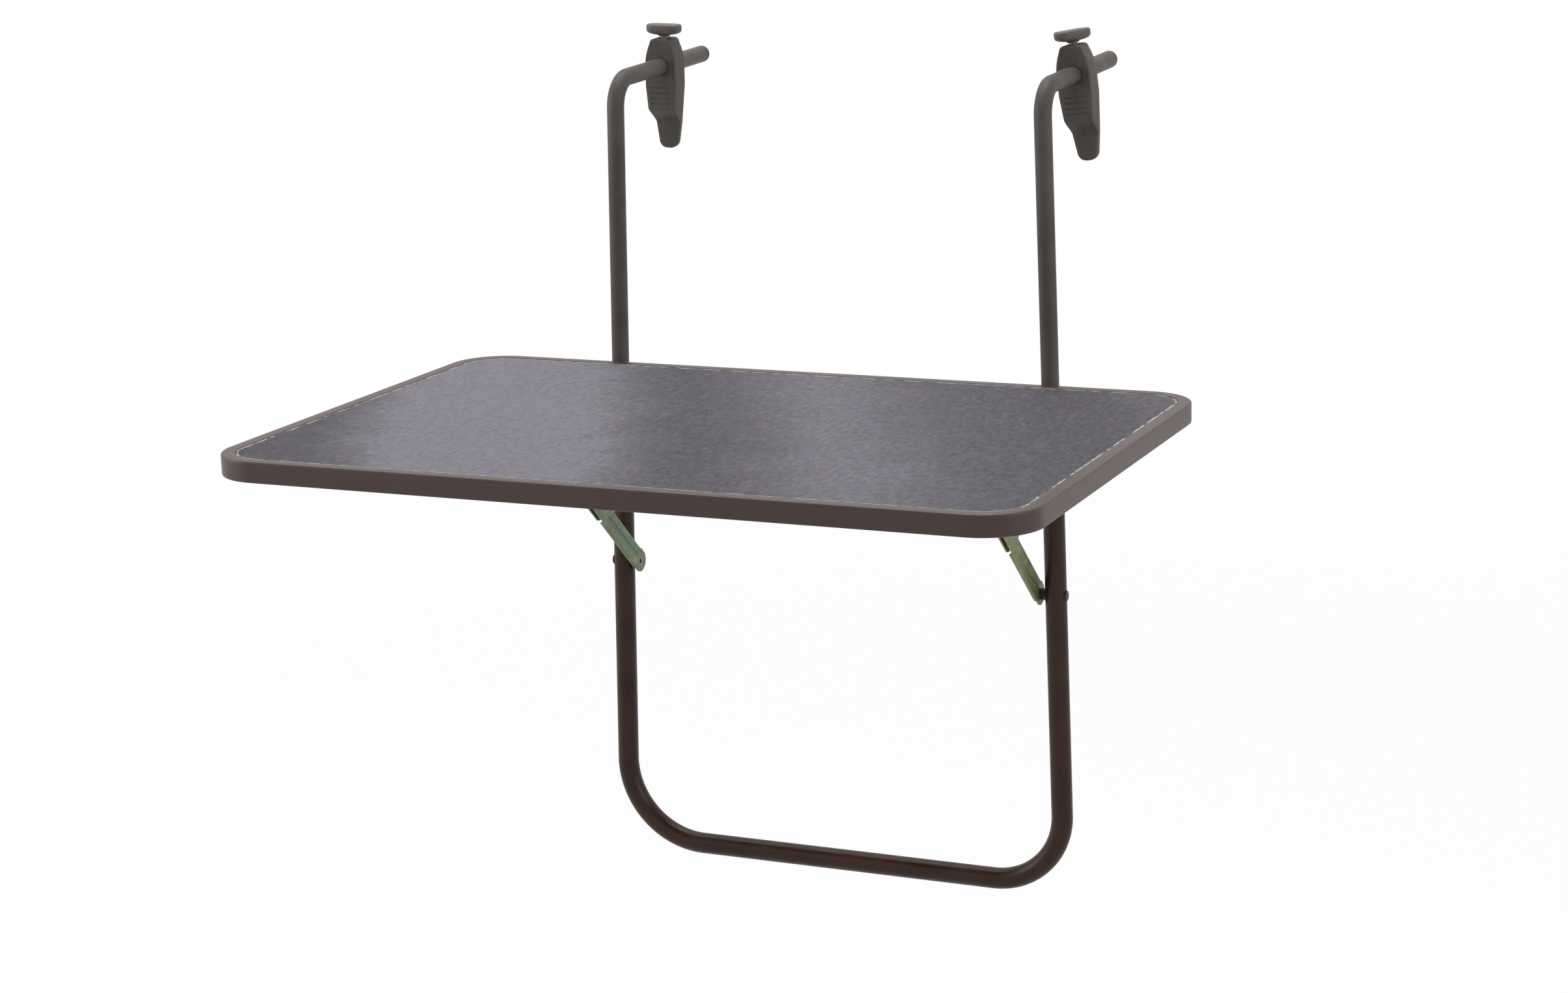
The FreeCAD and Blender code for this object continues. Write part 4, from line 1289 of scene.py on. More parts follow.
@dataclass
class LegParts:
    """What is fixed to a leg: its hinge boss and pin, its rivet and its height lock."""

    side: Side
    boss_r: float = 7.5
    boss_edge: float = 0.7
    boss_sink: float = 4.95
    boss_steps: int = 48
    pin_r: float = 3.0
    pin_head_r: float = 5.5
    pin_head: float = 2.2
    pin_short: float = 0.8
    chamfer: float = 0.5
    rivet_r: float = 4.2
    rivet_head: float = 1.2
    rivet_sink: float = 1.3
    shoulder_r: float = 4.5
    shoulder_edge: float = 0.6
    nut_across: float = 10.0
    nut_proud: float = 4.5
    nut_sink: float = 0.9
    screw_r: float = 3.0
    screw_head_across: float = 9.0
    screw_head: float = 4.0
    screw_head_gap: float = 1.5
    screw_tip_gap: float = 0.4
    hex_flat: float = 0.97
    hex_slope: float = 0.58
    weld_r: float = 1.1
    weld_steps: int = 96

    def build(self) -> None:
        """Makes the parts of one leg."""
        self.boss()
        self.pin()
        self.leg_rivet()
        self.lock()

    def add(
        self, name: str, profile: list[Point2], x: float, z: float, finish: Finish, node: str, steps: int = 40
    ) -> None:
        """Makes a piece that is turned round a line along X.

        Args:
            name: Name of the piece without its side.
            profile: (distance from x, radius) pairs.
            x: Where the profile starts.
            z: Height of the axis.
            finish: What it is made of.
            node: Node that it stands for, without its side.
            steps: Points round the axis.
        """
        shape = turned(profile, steps).moved(self.side.mirror @ across(x, 0, z))
        label = self.side.label
        made(f"{name}_{label}", shape, finish, "frame", [f"{node}_{label}"])

    def weld(self, name: str, z: float, r: float, sign: float) -> None:
        """Rippled weld bead round a part on the leg.

        Args:
            name: Name of the bead without its side.
            z: Height of the part's axis.
            r: Radius of the part.
            sign: 1 outside the leg, -1 on the side of the middle.
        """
        rings = []
        for k, turn in enumerate(full_turn(self.weld_steps)):
            y, rise = r * math.cos(turn), r * math.sin(turn)
            x = PLAN.leg_x(z + rise) + sign * math.sqrt(PLAN.tube_r ** 2 - y ** 2)
            point = self.side.mirror @ Vector((x, y, z + rise))
            size = self.weld_r * (1 + 0.10 * math.sin(k * 2.0) + 0.06 * math.sin(k * 0.55))
            out = Vector((0, math.cos(turn), math.sin(turn))) * size
            rings.append([point + out * math.cos(t) + ALONG_X * size * math.sin(t) for t in full_turn(10)])
        shape = loft(rings + rings[:1], ends=False)
        made(f"{name}_{self.side.label}", shape, FRAME_PAINT, "frame", smooth=60.0)

    def boss(self) -> None:
        """Turned boss on the inner side of the leg, with a countersunk bore and its weld."""
        r, deep = self.boss_r, PLAN.boss_proud + self.boss_sink
        profile = [(0.0, self.pin_r + self.chamfer)] + eased_end(0.0, r, self.boss_edge)
        profile += [(deep, r), (deep, self.pin_r)]
        self.add("hinge_boss_turned", profile, PLAN.boss_x, PLAN.hinge_z, FRAME_PAINT, "hinge_boss",
                 self.boss_steps)
        self.weld("hinge_boss_weld", PLAN.hinge_z, r + 0.2, -1)

    def pin(self) -> None:
        """Hinge pin with a domed head on the ear's inner side."""
        head_x = TableHinge(self.side).ear_x0 - PLAN.play
        r, length = self.pin_r, PLAN.boss_x + PLAN.boss_proud - self.pin_short - head_x
        profile = turned_over(domed_head(self.pin_head_r, self.pin_head, 0.7)) + [(0.0, r)]
        profile += [(length - self.chamfer, r), (length, r - self.chamfer), (length, POINT)]
        self.add("hinge_pin_headed", profile, head_x, PLAN.hinge_z, RIVET_ZINC, "hinge_pin")

    def leg_rivet(self) -> None:
        """Shoulder rivet: a low head outside the leg and a shoulder towards the brace."""
        r, middle = self.shoulder_r, PLAN.leg_x(PLAN.leg_pivot_z)
        start = Brace.mouth_x() + PLAN.play - middle
        profile = [(start, POINT)] + eased_end(start, r, self.shoulder_edge)
        profile += [(0.0, r), (0.0, self.rivet_r), (PLAN.tube_r - self.rivet_sink, self.rivet_r)]
        profile += lifted(domed_head(self.rivet_r, self.rivet_head, 0.3), PLAN.tube_r)
        self.add("leg_rivet_head", profile, middle, PLAN.leg_pivot_z, FRAME_PAINT, "leg_rivet")

    def hexagon(
        self, name: str, place: Point2, width: float, height: float, chamfer_low: bool = False
    ) -> Object:
        """Six-sided bar end along X with rounded-off corners.

        Args:
            name: Its name.
            place: Where it starts along X, and the height of its axis.
            width: Size across its flats.
            height: Its length.
            chamfer_low: Whether it is a head, chamfered at both ends, and no nut with a bore.

        Returns:
            The object.
        """
        corner, flat = width / math.sqrt(3), width / 2 * self.hex_flat
        drop = (corner - flat) * self.hex_slope
        ring = [Vector((corner * math.cos(t), corner * math.sin(t), 0)) for t in full_turn(6)]
        thing = as_object(name, loft([ring, [p + ALONG_Z * height for p in ring]]).mesh(name))
        low = [(0.0, flat), (drop, corner)] if chamfer_low else [(0.0, corner * 1.02)]
        carved(thing, turned(low + [(height - drop, corner * 1.001), (height, flat)], 48), Way.KEEP)
        if not chamfer_low:
            carved(thing, turned([(-1.0, self.screw_r), (height + 1.0, self.screw_r)], 32))
        quarter = Matrix.Rotation(math.pi / 2, 4, "Z")
        return placed(thing, self.side.mirror @ across(place[0], 0, place[1]) @ quarter)

    def lock(self) -> None:
        """Welded nut and hexagon screw that hold the hook rod at its height."""
        label, z = self.side.label, PLAN.top_z - PLAN.lock_drop
        seat = PLAN.leg_x(z) + PLAN.tube_r - self.nut_sink
        thick = self.nut_sink + self.nut_proud
        nut = self.hexagon(f"lock_nut_welded_{label}", (seat, z), self.nut_across, thick)
        finished(nut, FRAME_PAINT, "frame", [f"lock_nut_{label}"])
        self.weld("lock_nut_weld", z, self.nut_across / 2 + 0.5, 1)
        head_x = seat + thick + self.screw_head_gap
        head = self.hexagon(
            f"lock_screw_head_{label}", (head_x, z), self.screw_head_across, self.screw_head, True)
        finished(head, BRIGHT_ZINC, "frame", [f"lock_screw_{label}"])
        tip = PLAN.leg_x(z) + PLAN.rod_r + self.screw_tip_gap
        stud = threaded(0.0, head_x - tip, self.screw_r).moved(self.side.mirror @ across(tip, 0, z))
        made(f"lock_screw_stud_{label}", stud, BRIGHT_ZINC, "frame", smooth=50.0)


@dataclass
class HookRod:
    """Rod that slides in a leg and bends over the handrail, with its end cap."""

    side: Side
    bend_r: float = 22.0
    reach: float = 165.0
    cap_length: float = 6.5
    cap_round: float = 5.0
    cap_groove: tuple[Point2, ...] = ((0.0, 0.2), (0.12, 0.03), (0.3, 0.0))
    plug: float = 12.0
    plug_taper: float = 0.6
    overlap: float = 130.0
    hollow: float = 30.0
    steps: int = 44

    @property
    def arm(self) -> Matrix:
        """Placement of the arm's start, with +Y along the arm."""
        origin = Matrix.Translation((PLAN.leg_x(PLAN.rod_r), 0.0, PLAN.rod_r))
        return origin @ Matrix.Rotation(math.radians(PLAN.arm_rise_deg), 4, "X")

    def build(self) -> None:
        """Makes the rod and its cap."""
        label, mirror = self.side.label, self.side.mirror
        up = Vector((-math.sin(PLAN.splay), 0, math.cos(PLAN.splay)))
        start = PLAN.leg_point(PLAN.top_z - PLAN.tube_mouth_drop) - up * self.overlap
        corner = PLAN.leg_point(PLAN.rod_r)
        arm_end = ALONG_Y * (self.reach - self.cap_length)
        end = self.arm @ arm_end
        route = Route([start, corner, end], [self.bend_r], up.cross(end - corner))
        rod = pipe(route, PLAN.rod_r, PLAN.rod_bore_r, self.hollow, self.steps).moved(mirror)
        made(f"rod_{label}", rod, ROD_PAINT, f"hook_{label}", [f"hook_rod_{label}"])
        cap = turned(self.cap_profile(), self.steps).moved(mirror @ self.arm @ facing(arm_end, ALONG_Y))
        made(f"rod_cap_{label}", cap, CAP_PLASTIC, f"hook_{label}", [f"end_cap_{label}"])

    def cap_profile(self) -> list[Point2]:
        """Domed cap with a plug and a thin groove at its rim.

        Returns:
            (height, radius) pairs from the plug's end to the crown.
        """
        r, bore, plug, taper = PLAN.rod_r, PLAN.rod_bore_r, self.plug, self.plug_taper
        line = [(-plug, POINT), (-plug, bore - taper), (taper - plug, bore), (0.0, bore)]
        line += [(z, r - deep) for z, deep in self.cap_groove]
        dome = arc((r - self.cap_round, self.cap_length - self.cap_round), self.cap_round, 0, 90, 10)
        return line + [(z, radius) for radius, z in dome] + [(self.cap_length, POINT)]


@dataclass
class RailClamp:
    """Sliding jaw with its threaded insert, stud and oval knob."""

    side: Side
    rail_gap: float
    lean_deg: float
    knob_turn_deg: float
    width: float = 26.4
    depth: float = 19.0
    top: float = 21.85
    crown_width: float = 10.0
    eave_width: float = 18.0
    eave: float = 18.3
    knee_width: float = 23.2
    knee: float = 11.3
    shoulder: float = 1.0
    waist: float = 16.0
    jaw_face: float = 34.0
    jaw_step: float = 46.0
    step_ease: float = 0.35
    drop: float = 66.9
    jaw_width: float = 20.7
    jaw_end_width: float = 16.5
    tip_width: float = 3.0
    tip_round: float = 7.0
    tongue: float = 6.5
    corner: float = 1.3
    edge: float = 1.0
    bore_gap: float = 0.1
    bore_edge: float = 0.3
    grooves: int = 4
    groove_top: float = -17.0
    groove_pitch: float = 4.2
    groove_half: Point2 = (8.5, 0.6)
    groove_deep: float = 0.5
    screw_r: float = 3.0
    screw_in_knob: float = 4.9
    insert_r: float = 4.5
    insert_length: float = 10.0
    insert_sink: float = 1.5
    insert_gap: float = 0.02
    knob_lift: float = 1.4
    knob_length: float = 29.5
    knob_width: float = 15.0
    knob_height: float = 9.6
    knob_slab: float = 5.4
    knob_neck_r: float = 4.35
    knob_neck: float = 1.3
    knob_round: float = 1.8
    neck_straight: float = 0.5
    crown: float = 0.25

    @property
    def jaw_y(self) -> float:
        """Place of the gripping face along the arm."""
        return PLAN.rod_r + self.rail_gap

    @property
    def place(self) -> Matrix:
        """From the clamp's own frame, with the rod's axis as +Y, to the table's."""
        arm = HookRod(self.side).arm
        return self.side.mirror @ arm @ Matrix.Rotation(math.radians(-self.lean_deg), 4, "Y")

    @property
    def screw_origin(self) -> Matrix:
        """From the screw's axis to the clamp's own frame."""
        return Matrix.Translation((0, self.jaw_y + self.depth / 2, 0))

    def build(self) -> None:
        """Makes the four pieces of the clamp."""
        label = self.side.label
        thing = placed(self.block(f"clamp_jaw_{label}"), self.place)
        finished(thing, BLOCK_PLASTIC, f"clamp_{label}", [f"clamp_block_{label}"], 38.0)
        screw = self.place @ self.screw_origin
        stud = threaded(PLAN.rod_r + 0.3, self.top + self.knob_lift + self.screw_in_knob, self.screw_r)
        turn = Matrix.Rotation(math.radians(self.knob_turn_deg), 4, "Z")
        for name, shape, finish, body, node, smooth in (
            ("clamp_bush", self.insert(), BRASS, "clamp", "clamp_insert", 32.0),
            ("clamp_stud", stud, BRIGHT_ZINC, "knob", "clamp_screw", 50.0),
            ("knob_bar", self.knob().moved(turn), KNOB_PLASTIC, "knob", "knob", 50.0),
        ):
            nodes = [f"{node}_{label}"]
            made(f"{name}_{label}", shape.moved(screw), finish, f"{body}_{label}", nodes, smooth)

    def half_width(self, z: float) -> float:
        """Half of the block's width at a height.

        Args:
            z: Height above the rod's axis.

        Returns:
            The half width.
        """
        tip = self.tip_round - self.drop
        if z >= self.eave:
            share = min((z - self.eave) / (self.top - self.eave), 1.0)
            width = self.crown_width + (self.eave_width - self.crown_width) * math.sqrt(1 - share ** 2)
        elif z >= self.shoulder:
            return self.side_curve(z)
        elif z >= -self.waist:
            width = self.width
        elif z >= -self.jaw_step:
            share = (-self.waist - z) / (self.jaw_step - self.waist)
            width = self.width + (self.jaw_width - self.width) * share
        elif z >= tip:
            share = (self.jaw_step + z) / (self.jaw_step + tip)
            width = self.jaw_width + (self.jaw_end_width - self.jaw_width) * share
        else:
            share = min((tip - z) / self.tip_round, 1.0)
            width = self.tip_width + (self.jaw_end_width - self.tip_width) * math.sqrt(1 - share ** 2)
        return width / 2

    def side_curve(self, z: float) -> float:
        """Half width on the curved sides, through the shoulder, the knee and the eave.

        Args:
            z: Height above the rod's axis.

        Returns:
            The half width.
        """
        a, b, c = self.shoulder, self.knee, self.eave
        first = self.width * (z - b) * (z - c) / ((a - b) * (a - c))
        second = self.knee_width * (z - a) * (z - c) / ((b - a) * (b - c))
        third = self.eave_width * (z - a) * (z - b) / ((c - a) * (c - b))
        return (first + second + third) / 2

    def section(self, z: float, shrink: float) -> list[Vector]:
        """Rounded rectangle of the block at a height.

        Args:
            z: Height above the rod's axis.
            shrink: How far the front and the back are drawn in.

        Returns:
            The section's points.
        """
        share = min(max((-self.jaw_face - z) / (self.jaw_step - self.jaw_face), 0.0), 1.0)
        share += (share * share * (3 - 2 * share) - share) * self.step_ease
        w, y0 = self.half_width(z), self.jaw_y + (self.depth - self.tongue) * share + shrink
        y1 = self.jaw_y + self.depth - shrink
        r = min(self.corner, w * 0.6, (y1 - y0) * 0.45)
        return [Vector((a, b, z)) for a, b in rounded_box((-w, y0), (w, y1), r, r, 5)]

    def levels(self) -> list[Point2]:
        """Chooses the heights of the block's sections.

        Returns:
            Heights with how far each section is drawn in.
        """
        e, low, high = self.edge, -self.drop, self.top
        levels = [(low + e - e * math.cos(t), e - e * math.sin(t)) for t in angles(0, 90, 4)]
        fine, coarse = 0.9, 1.6
        z = low + e + 0.5
        while z < high - e - 0.4:
            levels.append((z, 0.0))
            z += fine if z < low + self.tip_round or z > self.eave - 3 else coarse
        return levels + [(high - e + e * math.sin(t), e - e * math.cos(t)) for t in angles(0, 90, 4)]

    def block(self, name: str) -> Object:
        """Makes the jaw block, bored for the rod and the screw, with grip grooves across its face.

        Args:
            name: Name of the object.

        Returns:
            The block in the clamp's own frame.
        """
        thing = as_object(name, loft([self.section(z, shrink) for z, shrink in self.levels()]).mesh(name))
        y0, y1, e = self.jaw_y, self.jaw_y + self.depth, self.bore_edge
        r = PLAN.rod_r + self.bore_gap
        flare = [(y0 - 1.0, r + e + 1.0), (y0, r + e), (y0 + e, r)]
        flare += [(y1 - e, r), (y1, r + e), (y1 + 1.0, r + e + 1.0)]
        carved(thing, turned(flare, 56).moved(facing(Vector(), ALONG_Y)))
        pocket = self.top - self.insert_sink - self.insert_length
        hole, seat = self.screw_r + self.bore_gap, self.insert_r + self.insert_gap
        bore = [(0.0, hole), (pocket, hole), (pocket, seat)]
        bore += [(self.top - 0.5, seat), (self.top + 1.0, seat + 1.18)]
        carved(thing, turned(bore).moved(self.screw_origin))
        a, b = self.groove_half
        for k in range(self.grooves):
            z = self.groove_top - self.groove_pitch * k
            outline = rounded_box((-a, z - b), (a, z + b), self.groove_deep, self.groove_deep, 3)
            ends = (y0 - 1.0, y0 + self.groove_deep)
            carved(thing, loft([[Vector((x, y, h)) for x, h in outline] for y in ends]))
        return thing

    def insert(self) -> Shape:
        """Draws the brass insert, with a chamfered bore and a groove round it.

        Returns:
            The insert on the screw's axis.
        """
        z1 = self.top - self.insert_sink
        z0 = z1 - self.insert_length
        r, bore, cut = self.insert_r - self.insert_gap, self.screw_r + self.bore_gap, 0.4
        profile = [(z0, bore + cut), (z0, r - cut), (z0 + cut, r), (z1 - 3.0, r), (z1 - 2.8, r - 0.35)]
        profile += [(z1 - 2.2, r - 0.35), (z1 - 2.0, r), (z1 - cut, r), (z1, r - cut), (z1, bore + 0.5)]
        return turned(profile + [(z1 - 0.5, bore), (z0 + cut, bore), profile[0]], ends=False)

    def knob(self) -> Shape:
        """Draws the oval knob: it narrows to its neck and has rounded edges and a crowned top.

        Returns:
            The knob on the screw's axis.
        """
        z0, neck = self.top + self.knob_lift, self.knob_neck_r
        straight, r = (self.knob_length - self.knob_width) / 2, self.knob_width / 2
        low, rise = z0 + self.knob_neck, self.knob_height - self.knob_slab - self.knob_neck
        top, e = z0 + self.knob_height, self.knob_round
        spots = [(z, self.neck_straight, neck - inset) for z, inset in
                 ((z0, 0.5), (z0 + 0.15, 0.15), (z0 + 0.5, 0.0), (low, 0.0))]
        for share in (0.02, 0.06, 0.12, 0.2, 0.3, 0.42, 0.56, 0.72, 0.88, 1.0):
            grow = math.sqrt(1 - (1 - share) ** 2)
            wider = self.neck_straight + (straight - self.neck_straight) * grow
            spots.append((low + rise * share, wider, neck + (r - self.crown - neck) * grow))
        spots += [(low + rise + 0.5, straight, r), (top - e - 0.4, straight, r)]
        flat = top - self.crown
        for t in angles(0, 90, 8):
            spots.append((flat - (e - self.crown) * (1 - math.sin(t)), straight, r - e * (1 - math.cos(t))))
        for inset, up in ((3.2, 0.12), (4.8, 0.2), (6.4, self.crown)):
            spots.append((flat + up, straight - inset * 0.3, r - inset))
        rings = []
        for z, half, radius in spots:
            oval = arc((half, 0), radius, -90, 90, 14) + arc((-half, 0), radius, 90, 270, 14)
            rings.append([Vector((a, b, z)) for a, b in oval])
        return loft(rings)


@dataclass
class Brace:
    """Folding brace: a channel at the leg and a two-cheeked link under the table."""

    side: Side
    width: float = 17.0
    sheet: float = 1.2
    channel_depth: float = 2.6
    channel_end: float = 78.0
    flange_start: float = 5.0
    tongue_width: float = 14.0
    groove_depth: float = 1.1
    groove_start: float = 11.5
    groove_end: float = 71.0
    groove_floor: float = 1.5
    groove_reach: float = 2.7
    columns: int = 49
    cheek_start: float = 78.5
    cheek_corner: float = 5.0
    outer_back: float = 9.0
    bend: float = 1.0
    burr: float = 0.16
    rivet_r: float = 2.5
    rivet_head_r: float = 5.0
    rivet_head: float = 1.3
    hole_gap: float = 0.1
    tube_r: float = 3.5
    tube_bore: float = 2.0
    tube_flare: float = 0.7
    ear: float = 2.2
    ear_r: float = 6.5
    foot_width: float = 24.0
    foot_depth: float = 30.0
    fillet: float = 1.6
    overlap: float = 0.05
    screw_pitch: float = 17.0
    screw_inset: float = 14.5

    @staticmethod
    def outer_x() -> float:
        """Outer face of the upper link, which folds beside the leg."""
        folded = PLAN.leg_pivot_z + PLAN.lower_link
        return PLAN.leg_x(folded) - PLAN.tube_r / math.cos(PLAN.splay) - PLAN.leg_gap

    @staticmethod
    def mouth_x() -> float:
        """Open side of the lower link's channel."""
        return Brace.outer_x() - Brace.sheet - PLAN.link_gap

    @property
    def web_x(self) -> float:
        """Inner face of the lower link's web."""
        return self.mouth_x() - self.channel_depth

    @property
    def inner_x(self) -> float:
        """Inner face of the upper link."""
        return self.web_x - PLAN.link_gap - self.sheet

    @property
    def ear_x0(self) -> float:
        """Inner face of the bracket's ear."""
        return self.inner_x + self.sheet + PLAN.play

    @property
    def zinc(self) -> Finish:
        """Finish of the links: on the right side, a lighter copy of the same zinc with painted light."""
        return LIT_BRACE_ZINC if self.side is Side.RIGHT else BRACE_ZINC

    def at(self, x: float, u: float, n: float) -> Vector:
        """Point of the straight brace: u from the leg pivot, n towards its back."""
        c, s = math.cos(PLAN.brace_tilt), math.sin(PLAN.brace_tilt)
        return self.side.mirror @ Vector((x, -u * c + n * s, PLAN.leg_pivot_z + u * s + n * c))

    def across_at(self, x: float, u: float) -> Matrix:
        """Placement with +Z along the side's outward direction at a distance from the leg pivot."""
        return facing(self.at(x, u, 0), ALONG_X * self.side.value)

    def build(self) -> None:
        """Makes the links, their rivets and the bracket under the table."""
        self.lower()
        self.upper()
        self.rivets()
        self.bracket()

    def link(self, name: str, node: str, rows: list, keep: Callable[[int, int], bool], holes: list) -> None:
        """Makes a link of folded sheet.

        Args:
            name: Name of the piece without its side.
            node: Node that it stands for and body that it rides on, without the side.
            rows: Points of its middle surface, row by row.
            keep: Says which patches are there.
            holes: (distance from the leg pivot, radius) of its holes.
        """
        label = self.side.label
        thing = folded_sheet(f"{name}_{label}", rows, keep, self.sheet)
        for u, r in holes:
            carved(thing, turned([(0.0, r), (20.0, r)], 36).moved(self.across_at(self.inner_x - 5, u)))
        modified(thing, "BEVEL", width=self.burr * METRE, segments=2, limit_method="ANGLE",
                 angle_limit=math.radians(35.0), harden_normals=False)
        finished(thing, self.zinc, f"{node}_{label}", [f"{node}_{label}"], 30.0)

    def half_at(self, u: float) -> float:
        """Half width of the lower link.

        Args:
            u: Distance from the leg pivot.

        Returns:
            The half width there.
        """
        half = (self.width if u <= self.channel_end else self.tongue_width) / 2
        past = max(-u, u - PLAN.lower_link, 0.0)
        return math.sqrt(max(half ** 2 - past ** 2, 0.01))

    def pressed(self, u: float, n: float) -> float:
        """Depth of the pressed groove at a point of the web.

        Args:
            u: Distance from the leg pivot.
            n: Distance from the middle line.

        Returns:
            The depth.
        """
        along = max(self.groove_start - u, u - self.groove_end, 0.0)
        wall = (math.hypot(along, n) - self.groove_floor) / (self.groove_reach - self.groove_floor)
        return self.groove_depth * (0.5 + 0.5 * math.cos(math.pi * min(max(wall, 0.0), 1.0)))

    def lower_row(self, u: float, flanged: bool) -> list[Vector]:
        """Row of the lower link's middle surface across its width.

        Args:
            u: Distance from the leg pivot.
            flanged: Whether the link has its flanges there.

        Returns:
            The row's points.
        """
        half, mid, bend = self.half_at(u), self.web_x + self.sheet / 2, self.bend
        edge = half - self.sheet / 2
        flat = max(edge - bend, half * 0.2)
        side = [(mid, -half)] * 2 + [(mid, n) for n in spaced(-half, -flat, 4)[1:-1]]
        if flanged:
            side = [(self.mouth_x(), -edge)] + arc((mid + bend, bend - edge), bend, 270, 180, 4)[:-1]
        web = [(mid + self.pressed(u, n), n) for n in spaced(-flat, flat, self.columns - 1)]
        row = side + web + [(x, -n) for x, n in reversed(side)]
        if self.side is Side.RIGHT:
            row = [(self.web_x + self.mouth_x() - x, n) for x, n in row]
        return [self.at(x, u, n) for x, n in row]

    def lower(self) -> None:
        """Channel with a pressed groove, a round end and a flat tongue."""
        end, step = PLAN.lower_link, 1.5
        r, tongue = self.width / 2, self.tongue_width / 2
        spots = [(-r * math.sin(math.radians(a)), False) for a in (88, 78, 66, 54, 42, 30, 18, 8)]
        spots += [(u, False) for u in (0.0, 2.5, self.flange_start - 0.1)]
        flanges = int((self.channel_end - 0.5 - self.flange_start) / step)
        spots += [(self.flange_start + step * k, True) for k in range(flanges + 1)]
        spots += [(self.channel_end, True), (self.channel_end + 0.4, False), (end - 10, False)]
        spots += [(end + tongue * math.sin(math.radians(a)), False) for a in (0, 15, 30, 45, 60, 75, 86)]
        rows = [self.lower_row(u, flanged) for u, flanged in spots]
        last = len(rows[0]) - 2

        def keep(i: int, j: int) -> bool:
            """Flange patches only lie between flanged rows."""
            return 1 <= j <= last - 1 or (spots[i][1] and spots[i + 1][1])

        holes = [(0.0, self.tube_r), (end, self.rivet_r + self.hole_gap)]
        self.link("brace_channel", "brace_lower", rows, keep, holes)

    def upper_row(self, u: float, cheeked: bool) -> list[Vector]:
        """Row of the upper link's middle surface from the inner cheek's edge to the outer one's.

        Args:
            u: Distance from the leg pivot.
            cheeked: Whether the link has both its cheeks there.

        Returns:
            The row's points.
        """
        half, bend = self.width / 2, self.bend
        inner, outer = self.inner_x + self.sheet / 2, self.outer_x() - self.sheet / 2
        back = half + PLAN.play + self.sheet / 2
        short = max(self.cheek_start + self.cheek_corner - u, 0.0)
        low = self.cheek_corner - math.sqrt(max(self.cheek_corner ** 2 - short ** 2, 0.0)) - half
        reach = math.sqrt(max(half ** 2 - max(u - PLAN.brace_span, 0.0) ** 2, 0.01))
        if cheeked:
            row = [(inner, n) for n in spaced(low, back - bend, 6)]
            row += arc((inner + bend, back - bend), bend, 180, 90, 4)[1:]
            row += arc((outer - bend, back - bend), bend, 90, 0, 4)
            row += [(outer, n) for n in spaced(back - bend, low, 7)[1:]]
        else:
            row = [(inner, n) for n in spaced(-reach, reach, 6)] + [(inner, reach)] * 16
        return [self.at(x, u, n) for x, n in row]

    def upper(self) -> None:
        """Two cheeks and the web that joins them, bent from one sheet."""
        end, step, span = PLAN.lower_link * 2 - self.outer_back, 4, PLAN.brace_span
        near = self.cheek_start + self.cheek_corner
        spots = [(near - self.cheek_corner * math.cos(t), True) for t in angles(0, 90, 6)]
        spots += [(near + step * k, True) for k in range(1, math.ceil((end - 2 - near) / step))]
        spots += [(end, True), (end + 0.3, False), (end + 6, False), (span - 5, False)]
        turns = (0, 12, 24, 36, 48, 60, 72, 82, 88)
        spots += [(span + self.width / 2 * math.sin(math.radians(a)), False) for a in turns]
        rows = [self.upper_row(u, cheeked) for u, cheeked in spots]

        def keep(i: int, j: int) -> bool:
            """Web and outer cheek end with the last cheeked row."""
            return j < 6 or (spots[i][1] and spots[i + 1][1])

        holes = [(PLAN.lower_link, self.rivet_r), (span, self.rivet_r + self.hole_gap)]
        self.link("brace_cheeks", "brace_upper", rows, keep, holes)

    def rivets(self) -> None:
        """Knuckle rivet, table rivet and the tubular rivet at the leg end."""
        label, r = self.side.label, self.rivet_r
        head = domed_head(self.rivet_head_r, self.rivet_head)
        inside = turned_over(head) + [(0.0, r)]
        length = self.outer_x() - self.inner_x
        knuckle = inside + [(length - 0.2, r), (length, r - 0.3), (length, POINT)]
        grip = self.sheet + PLAN.play + self.ear + PLAN.play
        table = inside + [(grip, r)] + lifted(head, grip)
        deep, bore, flare, e = self.mouth_x() - self.web_x, self.tube_bore, self.tube_flare, 0.3
        tube = [(0.0, bore + flare), (0.0, self.tube_r - e), (e, self.tube_r), (deep - e, self.tube_r)]
        tube += [(deep, self.tube_r - e), (deep, bore + flare), (deep - flare, bore), (flare, bore)]
        tube.append(tube[0])
        x, upper, lower = self.inner_x, f"brace_upper_{label}", f"brace_lower_{label}"
        for name, profile, place, body, node in (
            ("knuckle_rivet_domed", knuckle, (x, PLAN.lower_link), upper, "knuckle_rivet"),
            ("table_rivet_domed", table, (x - PLAN.play, PLAN.brace_span), "table", "table_rivet"),
            ("pivot_eyelet", tube, (self.web_x, 0.0), lower, "pivot_tube"),
        ):
            shape = turned(profile, 36, ends=profile is not tube).moved(self.across_at(*place))
            made(f"{name}_{label}", shape, RIVET_ZINC, body, [f"{node}_{label}"])

